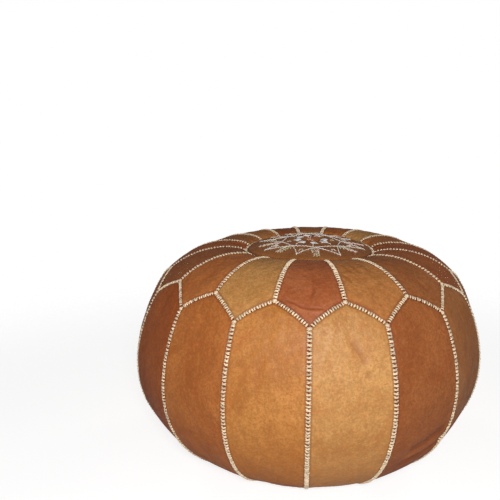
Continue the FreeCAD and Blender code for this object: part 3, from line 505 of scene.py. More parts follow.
def roll(distance):
    """How far a cut edge has turned down, by the distance from it."""
    short = np.clip(1 - distance / ROLL_WIDTH, 0, 1)
    return ROLL_DEPTH * (1 - np.sqrt(1 - short ** 2))


def shape_piece(piece, move):
    """The outer and inner surfaces of a leather piece, its edge distances and its relief."""
    rows, columns = piece.fine
    surface = piece.base(rows, columns) + resample(move, rows, columns)
    distance = piece.edge_distance(rows, columns)
    normals = grid_normals(surface, piece.closed)
    swell, relief = creases(piece, surface, distance)
    if isinstance(piece, Petal):
        spread = np.broadcast_to(rows[:, None], distance.shape)
        relief = relief + petal_fan(surface, spread) * smooth(distance / (6 * MM))
    if piece.closed:
        normals[0] = (0, 0, 1)
        swell, relief = swell * 0.5, relief * 0.6
    for line, width, height in FOLDS.get(piece.name, ()):
        relief = relief + ridge(surface, line, width, height)
    lift = swell + relief
    outer = surface + normals * (lift - roll(distance))[..., None]
    inner = surface + normals * (np.minimum(lift, 0) - LEATHER)[..., None]
    lowest = FLOOR_GAP + FOOT_PUCKER * smooth(1 - distance / (8 * MM))
    outer[..., 2] = np.maximum(outer[..., 2], lowest)
    inner[..., 2] = np.maximum(inner[..., 2], lowest + LEATHER)
    return outer, inner, distance, relief


def shell(name, outer, inner, distance, relief, closed=False):
    """A closed shell from an outer and an inner grid. A round one meets itself."""
    if closed:
        outer, inner, distance, relief = (grid[1:, :-1] for grid in (outer, inner, distance, relief))
    rows, columns = outer.shape[:2]
    count = rows * columns
    first_row, last_row = np.arange(columns), count - 1 - np.arange(columns)
    if closed:
        border = last_row
    else:
        border = np.concatenate([first_row, (np.arange(1, rows) + 1) * columns - 1,
                                 last_row[1:], (rows - 1 - np.arange(1, rows)) * columns])[:-1]
    following = np.roll(border, -1)
    faces = [grid_faces(rows, columns, closed=closed),
             grid_faces(rows, columns, count, flip=True, closed=closed),
             np.stack([border, following, following + count, border + count], axis=1)]
    points = [outer.reshape(-1, 3), inner.reshape(-1, 3)]
    values = {label: np.tile(numbers.ravel() / MM, 2)
              for label, numbers in (("seam", distance), ("relief", relief))}
    if closed:
        faces += [fan(2 * count, first_row), fan(2 * count + 1, first_row[::-1] + count)]
        points += [outer[0].mean(axis=0)[None], inner[0].mean(axis=0)[None]]
        values = {"seam": np.append(values["seam"], [MEDALLION_EDGE / MM] * 2),
                  "relief": np.append(values["relief"], [0, 0])}
    return smooth_object(name, new_mesh(name, np.concatenate(points), *faces), **values)


# ---- materials

def rgba(colour, scale=1.0):
    return tuple((np.array(colour) * scale).tolist()) + (1.0,)


class Nodes:
    """Short forms for the shader nodes that the materials share."""

    def __init__(self, tree):
        self.tree = tree
        self.coordinates = self.add("TexCoord")
        self.place = self.coordinates.outputs["Object"]

    def fill(self, node, inputs):
        """Give a node's inputs: numbers, colours or other nodes' outputs."""
        for key, value in inputs.items():
            if isinstance(value, bpy.types.NodeSocket):
                self.tree.links.new(value, node.inputs[key])
            else:
                node.inputs[key].default_value = value

    def add(self, kind, inputs=None, **settings):
        node = self.tree.nodes.new("ShaderNode" + kind)
        for name, value in settings.items():
            setattr(node, name, value)
        self.fill(node, inputs or {})
        return node

    def shifted(self, offset, stretch=(1, 1, 1)):
        return self.add("Mapping", {"Vector": self.place, "Location": offset,
                                    "Scale": stretch}).outputs[0]

    def noise(self, vector, scale, detail=3.0, roughness=0.55, distortion=0.0):
        return self.add("TexNoise", {"Vector": vector, "Scale": scale, "Detail": detail,
                                     "Roughness": roughness, "Distortion": distortion}).outputs["Fac"]

    def cells(self, vector, scale, feature="F1"):
        return self.add("TexVoronoi", {"Vector": vector, "Scale": scale},
                        feature=feature).outputs["Distance"]

    def height(self, vector):
        return self.add("SeparateXYZ", {0: vector}).outputs["Z"]

    def attribute(self, name):
        return self.add("Attribute", attribute_name=name).outputs["Fac"]

    def span(self, value, low, high, out_low=0.0, out_high=1.0):
        return self.add("MapRange", {"Value": value, "From Min": low, "From Max": high,
                                     "To Min": out_low, "To Max": out_high},
                        interpolation_type="SMOOTHSTEP").outputs["Result"]

    def sum(self, first, second, operation="ADD"):
        return self.add("Math", {0: first, 1: second}, operation=operation).outputs[0]

    def mix(self, amount, first, second):
        node = self.add("Mix", {"Factor": amount}, data_type="RGBA")
        colours = [index for index, s in enumerate(node.inputs) if s.type == "RGBA"]
        self.fill(node, {colours[0]: first, colours[1]: second})
        return [s for s in node.outputs if s.type == "RGBA"][0]

    def tint(self, dyed, mask, share, colour):
        """A layer of dye over another."""
        return self.mix(self.sum(mask, share, "MULTIPLY"), dyed, colour)

    def bump(self, height, strength, distance, normal=None):
        inputs = {"Strength": strength, "Distance": distance, "Height": height}
        if normal is not None:
            inputs["Normal"] = normal
        return self.add("Bump", inputs).outputs[0]


class Paint(Nodes):
    """The nodes of one new material."""

    def __init__(self, name):
        self.material = bpy.data.materials.new(name)
        self.material.use_nodes = True
        self.material.node_tree.nodes.clear()
        super().__init__(self.material.node_tree)
        self.shader = self.add("BsdfPrincipled")
        self.output = self.add("OutputMaterial", {0: self.shader.outputs[0]})

    def finish(self, inputs):
        self.fill(self.shader, inputs)
        return self.material


TONES = {
    "cherry": (0.420, 0.120, 0.037),
    "chestnut": (0.355, 0.105, 0.025),
    "umber": (0.375, 0.122, 0.033),
    "brown": (0.410, 0.148, 0.040),
    "saddle": (0.395, 0.140, 0.036),
    "brick": (0.405, 0.100, 0.019),
    "russet": (0.420, 0.118, 0.026),
    "orange": (0.475, 0.150, 0.032),
    "amber": (0.525, 0.168, 0.040),
    "tan": (0.490, 0.185, 0.048),
    "caramel": (0.525, 0.200, 0.042),
    "honey": (0.550, 0.218, 0.050),
    "sand": (0.575, 0.268, 0.076),
}
PETAL_TONES = ["cherry", "tan", "umber", "russet", "brick", "orange", "sand", "orange",
               "brown", "chestnut", "tan", "brown", "brick", "chestnut", "amber", "sand"]
PANEL_TONES = ["sand", "chestnut", "brown", "umber", "honey", "orange", "tan", "chestnut",
               "honey", "brown", "tan", "sand", "russet", "brick", "orange", "caramel"]
DARKER, LIGHTER, REDDER = (0.80, 0.66, 0.55), (1.13, 1.22, 1.38), (0.92, 0.68, 0.62)
# colours of painted shade, for the hollows of the creases and beside the seams
CREASE_SHADE, SEAM_SHADE = (0.62, 0.46, 0.40), (0.50, 0.40, 0.36)


def leather(name, tone, seed):
    """Waxed goat leather: mottled dye, fine grain and small creases, with painted shade beside the seams,
    in the crease hollows and near the floor, and a painted highlight on the crease ridges.
    """
    paint = Paint(name)
    colour = TONES[tone]
    darker, lighter, redder, crease_shade, seam_shade = (
        rgba(colour, share) for share in (DARKER, LIGHTER, REDDER, CREASE_SHADE, SEAM_SHADE))
    offset = (seed * 0.37, seed * 0.71, seed * 0.13)
    place = paint.shifted(offset)

    def mask(low, high, *noise, stretch=(1, 1, 1)):
        return paint.span(paint.noise(paint.shifted(offset, stretch), *noise), low, high)

    push = paint.add("TexNoise", {"Vector": place, "Scale": 30}).outputs["Color"]
    bent = paint.add("VectorMath", {0: push, 1: (0.01,) * 3, 2: place}, operation="MULTIPLY_ADD")
    crease = paint.cells(bent.outputs[0], 58, "DISTANCE_TO_EDGE")
    crack = paint.sum(paint.span(crease, 0.0, 0.07, 1.0, 0.0), mask(0.45, 0.65, 16, 3, 0.5), "MULTIPLY")
    dyed = paint.mix(mask(0.34, 0.68, 11, 5, 0.62, 0.9), darker, lighter)
    dyed = paint.tint(dyed, mask(0.41, 0.61, 95, 5, 0.72, 0.4), 0.50, rgba(colour, 0.76))
    dyed = paint.tint(dyed, mask(0.42, 0.66, 42, 5, 0.6, 2.2, stretch=(1, 1, 0.3)), 0.45, lighter)
    dyed = paint.tint(dyed, mask(0.52, 0.74, 21, 4, 0.6, 1.5, stretch=(1, 1, 0.6)), 0.60, redder)
    dyed = paint.tint(dyed, crack, 0.10, darker)
    dyed = paint.tint(dyed, mask(0.40, 0.60, 330, 3, 0.7), 0.60, rgba(colour, 0.64))
    dyed = paint.tint(dyed, mask(0.50, 0.66, 210, 4, 0.7, stretch=(1, 0.9, 1.1)), 0.50, lighter)
    # painted shade: redder and darker near the floor, darker in the hollows of the creases and beside the
    # seams; painted highlight: lighter on the crease ridges
    dyed = paint.mix(paint.span(paint.height(paint.place), 0.02, 0.15, 0.45, 0.0), dyed, redder)
    relief = paint.attribute("relief")
    # painted shade in the hollows of the creases and a painted highlight on their ridges, read from the
    # relief
    dyed = paint.mix(paint.span(relief, -0.10, -1.00, 0.0, 0.60), dyed, crease_shade)
    dyed = paint.mix(paint.span(relief, 0.10, 0.80, 0.0, 0.40), dyed, lighter)
    # painted shade beside the seams, for the shade of the seam groove
    dyed = paint.mix(paint.span(paint.attribute("seam"), 2.6, 6.0, 0.85, 0.0), dyed, seam_shade)
    grain = paint.sum(paint.cells(place, 780), paint.noise(place, 1500, 2, 0.5))
    rough = paint.bump(grain, 0.35, 0.25 * MM)
    rough = paint.bump(paint.noise(place, 150, 4, 0.6, 0.6), 0.70, 1.1 * MM, rough)
    rough = paint.bump(paint.noise(place, 400, 3, 0.6), 0.50, 0.6 * MM, rough)
    return paint.finish({
        "Base Color": dyed,
        "Roughness": paint.span(paint.noise(place, 60, 4, 0.6), 0.3, 0.7, 0.44, 0.62),
        "Specular IOR Level": 0.32,
        "Normal": paint.bump(crack, 0.12, -0.5 * MM, rough)})


def thread(name, colour, second=None):
    """Waxed cotton cord with a fine ply and uneven handling marks, in one colour or two."""
    paint = Paint(name)
    place = paint.shifted((0.3, 0.1, 0.7))
    soil = paint.span(paint.noise(place, 120, 3, 0.6), 0.35, 0.70)
    dyed = paint.mix(soil, rgba(colour, 0.85), rgba(colour, 1.06))
    if second:
        dyed = paint.mix(paint.span(paint.noise(place, 30, 2, 0.5), 0.46, 0.54), dyed, rgba(second))
    return paint.finish({
        "Base Color": paint.mix(paint.attribute("shade"), rgba(colour, 0.25), dyed),
        "Roughness": 0.62, "Sheen Weight": 0.25,
        "Normal": paint.bump(paint.noise(place, 2600, 2, 0.5), 0.5, 0.2 * MM)})


def brass():
    paint = Paint("zip_brass")
    place = paint.shifted((0, 0, 0))
    wear = paint.span(paint.noise(place, 300, 4, 0.6), 0.35, 0.7)
    return paint.finish({
        "Base Color": paint.mix(wear, (0.50, 0.33, 0.12, 1), (0.78, 0.58, 0.27, 1)),
        "Roughness": paint.span(wear, 0, 1, 0.45, 0.25), "Metallic": 1.0,
        "Normal": paint.bump(paint.noise(place, 900, 3), 0.15, 0.1 * MM)})


def woven(name, colour, scale):
    """Plain-weave cloth, its threads crossing along X and Y."""
    paint = Paint(name)
    waves = [paint.add("TexWave", {"Vector": paint.place, "Scale": scale, "Distortion": 0.4},
                       bands_direction=direction).outputs["Fac"] for direction in "XY"]
    weave = paint.sum(*waves, "MULTIPLY")
    fade = paint.span(paint.noise(paint.place, 30, 3), 0.3, 0.7, 0.0, 0.5)
    dyed = paint.mix(weave, rgba(colour, 0.7), rgba(colour))
    return paint.finish({
        "Base Color": paint.mix(fade, dyed, rgba(colour, 0.85)), "Roughness": 0.9,
        "Sheen Weight": 0.3, "Normal": paint.bump(weave, 0.6, 0.3 * MM)})


def wadding():
    paint = Paint("wadding")
    fluff = paint.noise(paint.place, 60, 6, 0.7, 1.0)
    return paint.finish({
        "Base Color": paint.mix(fluff, (0.70, 0.67, 0.60, 1), (0.92, 0.90, 0.86, 1)),
        "Roughness": 1.0, "Sheen Weight": 0.5, "Normal": paint.bump(fluff, 0.8, 3 * MM)})


# ---- the leather cover

def place_piece(piece, material, node):
    """Give a visual piece its material and body, and hide the CAD part that it takes the place of."""
    piece.data.materials.clear()
    piece.data.materials.append(material)
    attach(piece, "pouf")
    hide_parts(node)


def make_cover():
    """The petals, side panels and medallion, and the surfaces that threads are laid on."""
    pieces = [*PANELS, *PETALS, Medallion()]
    tones = [*PANEL_TONES, *PETAL_TONES, "saddle"]
    surfaces = {}
    for piece, tone, move in zip(pieces, tones, simulate(pieces)):
        grids = shape_piece(piece, move)
        surfaces[piece.name] = grids[0]
        obj = shell(f"{piece.name}_leather", *grids, piece.closed)
        seed = name_number(piece.name) % 31
        place_piece(obj, leather(f"leather_{piece.name}", tone, seed), piece.name)
    return surfaces


# ---- threads

RIM_POINTS = 6
THREAD_WIDTH = 3.0 * MM
THREAD_HEIGHT = 1.6 * MM
STITCH = 7.2 * MM
TIP_PLACE = float(zigzag_place(0.0))
PEAK_PLACE = float(zigzag_place(HALF))
AROUND = np.linspace(0, 2 * pi, 361)


def make_tree(grids):
    """A tree of surfaces that threads can be laid on."""
    points, faces, start = [], [], 0
    for grid in grids:
        rows, columns = grid.shape[:2]
        points.append(grid.reshape(-1, 3))
        faces.append(grid_faces(rows, columns, start))
        start += rows * columns
    return BVHTree.FromPolygons(np.concatenate(points).tolist(), np.concatenate(faces).tolist())


def settle(tree, points, normals, reach=12 * MM):
    """Each point moved along its normal onto the surface."""
    out = points.copy()
    result = out.reshape(-1, 3)
    for index, normal in enumerate(normals.reshape(-1, 3)):
        start = Vector(result[index] + normal * reach)
        hit = tree.ray_cast(start, Vector(-normal), 2 * reach)
        if hit[0] is not None:
            result[index] = hit[0]
    return out


def threads(name, paths, ups, widths, heights, shades, taper=None):
    """A mesh of short threads. Paths are (count, points, 3), and ups are (count, 3)."""
    count, sections = paths.shape[:2]
    if taper is None:
        taper = np.clip(1.04 - 0.55 * np.abs(np.linspace(-1, 1, sections)) ** 3, 0, 1)
    tangent = unit(np.gradient(paths, axis=1))
    side = unit(np.cross(tangent, ups[:, None, :]))
    top = np.cross(side, tangent)
    angle = np.linspace(0, 2 * pi, RIM_POINTS, endpoint=False)[:, None]
    wide, tall = (np.broadcast_to(size, count)[:, None, None, None] / 2 for size in (widths, heights))
    ring = side[:, :, None] * np.cos(angle) * wide + top[:, :, None] * np.sin(angle) * tall
    points = (paths[:, :, None] + ring * taper[:, None, None]).reshape(-1, 3)
    points[:, 2] = np.maximum(points[:, 2], FLOOR_GAP / 2)
    each = sections * RIM_POINTS
    start = np.arange(count)[:, None] * each
    tube = grid_faces(sections, RIM_POINTS, flip=True, closed=True)
    cap = np.arange(RIM_POINTS)
    mesh = new_mesh(name, points, (start[:, :, None] + tube).reshape(-1, 4),
                    start + cap[::-1], start + each - RIM_POINTS + cap)
    return smooth_object(name, mesh, shade=np.repeat(shades, each))


class ThreadWork:
    """Threads gathered on a tree of surfaces, made into one mesh at the end."""

    def __init__(self, tree, seed):
        self.tree = tree
        self.random = np.random.default_rng(seed)
        self.paths, self.ups, self.widths, self.shades = [], [], [], []


class Rows(ThreadWork):
    """Stitches along seams."""
    samples = np.linspace(-1, 1, 7)
    arch = np.array([-0.75, 0.30, 0.92, 1.12, 0.92, 0.30, -0.75]) * MM

    def line(self, curve, outward, pitch, length, slant=0.0, vee=0.0, lift=1.0):
        """Stitches across a curve. Outward gives the direction away from the leather."""
        normal = self.random.normal
        along = run_length(curve)
        count = max(2, round(along[-1] / pitch))
        places = (np.arange(count) + 0.5) * along[-1] / count + normal(0, 0.05 * pitch, count)
        centre = read_along(places, along, curve)
        up = unit(read_along(places, along, outward))
        ahead = unit(read_along(places, along, np.gradient(curve, axis=0)))
        side = unit(np.cross(ahead, up))
        reach = length / 2 * (1 + normal(0, 0.07, (count, 1)))
        spread = self.samples * reach + normal(0, 0.12 * MM, (count, 1))
        turn = slant * (-1.0) ** np.arange(count) + normal(0, 0.08, count)
        bow = vee * (np.abs(self.samples) - 0.45) * (1 + normal(0, 0.15, (count, 1)))
        onward = (self.samples * turn[:, None] + bow) * reach
        path = (centre[:, None] + side[:, None] * spread[..., None] + ahead[:, None] * onward[..., None])
        ends = settle(self.tree, path[:, [0, -1]], np.repeat(up[:, None], 2, axis=1))
        share = (self.samples[:, None] + 1) / 2
        straight = ends[:, :1] * (1 - share) + ends[:, 1:] * share
        offset = ((straight - path) * up[:, None]).sum(axis=-1, keepdims=True)
        rise = self.arch[:, None] * lift * (1 + normal(0, 0.08, (count, 1, 1)))
        self.paths.append(path + up[:, None] * (offset + rise))
        self.ups.append(up)

    def seam(self, azimuth, first, last, samples, pitch, length, lifts):
        """Two layers of slanted stitches that cross, from one place of a seam to another."""
        curve, outward = seam_curve(azimuth, np.linspace(first, last, samples))
        for slant, lift in zip((0.40, -0.40), lifts):
            self.line(curve, outward, pitch, length, slant, -0.12, lift)

    def crossing(self, azimuth, place, turns):
        """Single stitches that cross one another where seams meet."""
        radius = float(np.interp(place, SECTION_S, SECTION_R))
        step = np.linspace(-1, 1, 5) * 1.2 * MM
        for turn in turns:
            curve, outward = seam_curve(azimuth + step * sin(turn) / radius, place + step * cos(turn))
            self.line(curve, outward, 2.4 * MM, STITCH * 0.9, lift=1.1)

    def build(self, node, material, width=1.0, height=1.0, shade=0.82):
        """One mesh for a CAD node. Width and height are shares of a plain thread's."""
        count = sum(len(path) for path in self.paths)
        shades = np.clip(self.random.normal(shade, 0.20, count), 0.25, 1.0)
        widths = THREAD_WIDTH * width * (1 + self.random.normal(0, 0.06, count))
        name = node.replace("stitching", "threads")
        obj = threads(name, np.concatenate(self.paths), np.concatenate(self.ups), widths,
                      THREAD_HEIGHT * height, shades)
        place_piece(obj, material, node)


def seam_curve(azimuths, places):
    """A curve on the seams of the cover, and its outward direction."""
    def point(azimuth, place):
        return cover_point(azimuth, np.zeros_like(azimuth), place, 0.0)

    azimuths, places = np.broadcast_arrays(np.asarray(azimuths, float), np.asarray(places, float))
    down = point(azimuths, places + 0.5 * MM) - point(azimuths, places - 0.5 * MM)
    across = point(azimuths + 0.002, places) - point(azimuths - 0.002, places)
    return point(azimuths, places), unit(np.cross(down, across))


def make_stitching(surfaces, cream):
    """One piece of thread work for each run of seams."""
    tree = make_tree([surfaces[piece.name] for piece in (*PANELS, *PETALS)])

    rows = Rows(tree, SEED + 1)
    for k in range(COUNT):
        rows.seam(k * PITCH, TIP_PLACE + 3.5 * MM, SECTION_END - 5 * MM, 120,
                  4.8 * MM, STITCH * 0.88, (0.7, 1.1))
        rows.crossing(k * PITCH, TIP_PLACE + 0.8 * MM, (-1.0, 1.0, 0.0))
    rows.build("side_seam_stitching", cream, 0.72)

    rows = Rows(tree, SEED + 2)
    for k in range(COUNT):
        azimuth = (k + 0.5) * PITCH
        rows.seam(azimuth, 5 * MM, PEAK_PLACE - 3.5 * MM, 60, 4.6 * MM, STITCH * 0.86, (0.5, 0.85))
        rows.crossing(azimuth, PEAK_PLACE - 0.5 * MM, (-1.1, 1.1, 0.0))
    # the petal seam threads are painted brighter (shade 0.97 against 0.82): painted light, since the key
    # lamp lights these upper seams less
    rows.build("petal_seam_stitching", cream, 0.68, 0.8, 0.97)

    rows = Rows(tree, SEED + 3)
    local = np.linspace(0.010, HALF - 0.011, 30)
    for k in range(COUNT):
        for way in (-1, 1):
            rows.line(*seam_curve(k * PITCH + way * local, zigzag_place(local)),
                      3.5 * MM, STITCH * 0.72, slant=0.16, lift=0.8)
    rows.build("petal_edge_stitching", cream, 0.86)

    rows = Rows(tree, SEED + 4)
    rows.line(*seam_curve(AROUND, np.full_like(AROUND, 2.6 * MM)), 4.0 * MM, STITCH * 0.8,
              slant=0.10, lift=0.5)
    rows.build("medallion_stitching", cream, 0.85, 0.75)


# ---- embroidery

STAR_TIP = 84 * MM
STAR_WAIST = 43 * MM
STAR_TURN = radians(-15)
SATIN_RING = 22.5 * MM
SATIN_SIDE = 11 * MM
EIGHTH = pi / 4


class Embroidery(ThreadWork):
    """Fine threads laid on the medallion."""
    arch = np.array([-0.3, 1.0, 1.25, 1.0, -0.3])
    taper = np.array([0.55, 0.95, 1.0, 0.95, 0.55])

    def stroke(self, first, second, width, shade=0.9, rise=0.45, bend=0.0):
        """A stitch from one point to another, both (x, y) on the medallion."""
        first, second = np.asarray(first, float), np.asarray(second, float)
        share = np.linspace(0, 1, 5)[:, None]
        across = np.array([first[1] - second[1], second[0] - first[0]])
        flat = first * (1 - share) + second * share + across * bend * 4 * share * (1 - share)
        points = np.column_stack([flat + LEAN, np.full(5, MEDALLION_TOP)])
        points = settle(self.tree, points, np.tile((0.0, 0.0, 1.0), (5, 1)), 20 * MM)
        points[:, 2] += self.arch * rise * width
        self.paths.append(points)
        self.widths.append(width)
        self.shades.append(shade)

    def run(self, points, width, stitch, shade=0.95):
        """Back stitches along a line of points."""
        points = np.asarray(points)
        along = run_length(points)
        count = max(1, round(along[-1] / stitch))
        spots = read_along(np.linspace(0, along[-1], count + 1), along, points)
        spots += self.random.normal(0, 0.22 * MM, spots.shape)
        for a, b in zip(spots[:-1], spots[1:]):
            lap = (b - a) * 0.08
            self.stroke(a - lap, b + lap, width * self.random.uniform(0.88, 1.15),
                        shade * self.random.uniform(0.85, 1.1))

    def build(self, name, material, node):
        paths, widths = np.array(self.paths), np.array(self.widths)
        ups = np.tile((0.0, 0.0, 1.0), (len(paths), 1))
        obj = threads(name, paths, ups, widths, widths * 0.8, self.shades, self.taper)
        place_piece(obj, material, node)


def spot(radius, azimuth):
    return np.array([radius * sin(azimuth), -radius * cos(azimuth)])


def bowed(first, second, waist):
    """A line of points from one star tip to another, bowed towards the centre."""
    middle = (first + second) / 2
    control = middle * (2 * waist / np.linalg.norm(middle) - 1)
    share = np.linspace(0, 1, 40)[:, None]
    return first * (1 - share) ** 2 + control * 2 * share * (1 - share) + second * share ** 2


def make_star(tree, random, material):
    """Two interlaced squares with bowed sides, eight tips in all."""
    jitter = random.normal(0, 1, (8, 2))
    tips = [spot(STAR_TIP + 2.2 * MM * radial, STAR_TURN + i * EIGHTH + 0.035 * turned)
            for i, (radial, turned) in enumerate(jitter)]
    star = Embroidery(tree, SEED + 9)
    for i in range(8):
        waist = STAR_WAIST + random.normal(0, 1.2 * MM)
        star.run(bowed(tips[i], tips[(i + 2) % 8], waist), 1.6 * MM, 5.2 * MM)
    star.build("star_threads", material, "embroidery_star")


def make_squares(tree, random, material):
    """A ring of eight satin squares, set at uneven angles."""
    squares = Embroidery(tree, SEED + 10)
    for i in range(8):
        azimuth = STAR_TURN + (i + 0.5) * EIGHTH + random.normal(0, 0.07)
        centre = spot(SATIN_RING + random.normal(0, 0.9 * MM), azimuth)
        turn = azimuth + random.choice([EIGHTH, 0.25, EIGHTH, -0.15]) + random.normal(0, 0.1)
        lay = np.array([cos(turn), sin(turn)])
        step = np.array([-lay[1], lay[0]])
        side = SATIN_SIDE * random.uniform(0.90, 1.06)
        for j in range(9):
            middle = centre + step * (j - 4) / 8 * (side - 1.1 * MM)
            reach = lay * side / 2 * random.uniform(0.94, 1.04)
            squares.stroke(middle - reach, middle + reach, 1.35 * MM, random.uniform(0.8, 1.08), rise=0.5)
    squares.build("satin_squares", material, "embroidery_squares")


def make_rosette(tree, random, material):
    """Seven petals of one stitch each round two that cross."""
    rosette = Embroidery(tree, SEED + 11)
    for i in range(7):
        azimuth = i * 2 * pi / 7 + 0.3
        centre = spot(4.4 * MM, azimuth)
        lay = spot(1.4 * MM, azimuth + random.normal(0, 0.5))
        rosette.stroke(centre - lay, centre + lay, 1.7 * MM, random.uniform(0.8, 1.1))
    for turn in (0.4, 1.7):
        lay = spot(1.5 * MM, turn)
        rosette.stroke(-lay, lay, 1.5 * MM, 1.0, rise=0.8)
    rosette.build("rosette_threads", material, "embroidery_rosette")


def make_sprigs(tree, random, material):
    """A fern sprig between each two star tips, with a fork and a dash in from it."""
    sprigs = Embroidery(tree, SEED + 12)
    for i in range(8):
        azimuth = STAR_TURN + (i + 0.5) * EIGHTH + random.normal(0, 0.04)
        out = spot(1.0, azimuth)
        across = np.array([-out[1], out[0]])
        low, high = 50 * MM, (83 + random.normal(0, 2)) * MM
        bend = across * random.normal(0, 1.0 * MM)
        sprigs.run([out * low, out * (low + high) / 2 + bend, out * high], 1.2 * MM, 5.5 * MM, 0.85)
        for j in range(5):
            base = out * (low + (high - low) * (j + 0.4) / 5.2)
            long = (9.5 - 0.9 * j) * MM * random.uniform(0.85, 1.15)
            for way in (-1, 1):
                lean = 0.72 + random.normal(0, 0.12)
                tip = base + (out * cos(lean) + across * way * sin(lean)) * long
                sprigs.stroke(base + across * way * 0.6 * MM, tip, 1.35 * MM,
                              random.uniform(0.6, 1.1), bend=0.08 * way)
        fork = spot(1.0, STAR_TURN + i * EIGHTH)
        across = np.array([-fork[1], fork[0]])
        for way in (-1, 1):
            sprigs.stroke(fork * 56 * MM, fork * 66 * MM + across * way * 3.2 * MM, 1.4 * MM,
                          random.uniform(0.8, 1.1))
        sprigs.stroke(out * 31 * MM, out * 38 * MM, 1.5 * MM, random.uniform(0.8, 1.1))
    sprigs.build("sprig_threads", material, "embroidery_sprigs")


def make_embroidery(surfaces):
    tree = make_tree([surfaces["medallion"]])
    random = np.random.default_rng(SEED + 8)
    make_star(tree, random, thread("thread_white", (0.82, 0.76, 0.67)))
    make_squares(tree, random, thread("thread_grey", (0.84, 0.81, 0.77)))
    make_rosette(tree, random, thread("thread_pink", (0.72, 0.45, 0.38)))
    make_sprigs(tree, random, thread("thread_sprig", (0.78, 0.72, 0.48), (0.86, 0.66, 0.56)))


# ---- base, lining and zip

def half_disc(way, rows, columns):
    """A grid over one half of the base, with its straight edge beside the zip."""
    u = (columns * 2 - 1)[None, :]
    v = rows[:, None]
    away = np.minimum(v * np.sqrt(1 - u ** 2 / 2), 1 - 1e-6)
    y = BASE_SLOT * (1 - away) + BASE_RADIUS * away
    x = u * np.sqrt(1 - v ** 2 / 2) * np.sqrt(BASE_RADIUS ** 2 - y ** 2) / np.sqrt(1 - away ** 2)
    return np.stack([x * way, y * way, np.zeros_like(x)], axis=-1)


def make_base(surfaces, cream):
    """Two halves of leather under the pouf, and the stitches that hold them."""
    grids = [surfaces[panel.name] for panel in PANELS]
    rows, columns = (dense_edges(size, 3.4 * MM) for size in (BASE_RADIUS, 2 * BASE_RADIUS))
    for way, node in ((1, "base_half_back"), (-1, "base_half_front")):
        flat = half_disc(way, rows, columns)[:, ::-1]
        radius = np.hypot(flat[..., 0], flat[..., 1])
        distance = np.minimum(BASE_RADIUS - radius, np.abs(flat[..., 1]) - BASE_SLOT)
        swell = (0.5 * MM * octaves(flat, 16, SEED + 60, 2)
                 + 0.25 * MM * (1 - np.abs(octaves(flat, 45, SEED + 61, 3))) ** 3)
        outer, inner = flat.copy(), flat.copy()
        under = BASE_UNDER - 1.2 * MM - swell * smooth(distance / (12 * MM)) + roll(distance) * 0.5
        outer[..., 2] = np.maximum(under, 1.6 * MM)
        inner[..., 2] = BASE_UNDER + 1.2 * MM
        obj = shell(f"{node}_leather", outer, inner, distance, swell)
        place_piece(obj, leather(f"leather_{node}", "brown", 3 + way), node)
        grids.append(outer)
    stitches = Rows(make_tree(grids), SEED + 5)
    stitches.line(polar(BASE_SEAM - 0.6 * MM, AROUND, 2.6 * MM),
                  np.tile((0.0, 0.0, -1.0), (len(AROUND), 1)), 4.6 * MM, STITCH, lift=0.75)
    stitches.build("base_stitching", cream, 1.0, 0.8)


def lining_grid(inset, lumps, seed):
    """A closed round surface that follows the cover at a distance inside it."""
    places = np.linspace(0.5 * MM, SECTION_END, 110)[:, None]
    azimuth = np.linspace(0, 2 * pi, 12 * COUNT + 1)[None]
    centre = (np.floor(azimuth / PITCH + 1e-9) + 0.5) * PITCH
    flat = 0.6 * smooth(places / 0.12) * smooth((SECTION_END - places) / 0.09)
    points = cover_point(centre, azimuth - centre, places, flat)
    depth = inset + lumps * (0.5 + 0.5 * octaves(points, 20, seed, 2))
    points = points - grid_normals(points, closed=True) * depth[..., None]
    points[..., 2] = np.maximum(points[..., 2], 7 * MM + inset * 0.6)
    return points[:, :-1]


def closed_lathe(name, grid):
    """A closed mesh from a grid of rings, with a cap at each end."""
    rows, columns = grid.shape[:2]
    ring, count = np.arange(columns), rows * columns
    points = [grid.reshape(-1, 3), grid[0].mean(axis=0)[None], grid[-1].mean(axis=0)[None]]
    mesh = new_mesh(name, np.concatenate(points), grid_faces(rows, columns, closed=True),
                    fan(count, ring), fan(count + 1, ring[::-1] + count - columns))
    return smooth_object(name, mesh)


def make_lining():
    cotton = woven("cotton", (0.78, 0.75, 0.68), 500)
    layers = [("cotton_bag", "liner_bag", 6.5 * MM, 0.6 * MM, cotton),
              ("stuffing", "filling", 9.0 * MM, 2.0 * MM, wadding())]
    for name, node, inset, lumps, material in layers:
        grid = lining_grid(inset, lumps, SEED + 70 + len(name))
        place_piece(closed_lathe(name, grid), material, node)


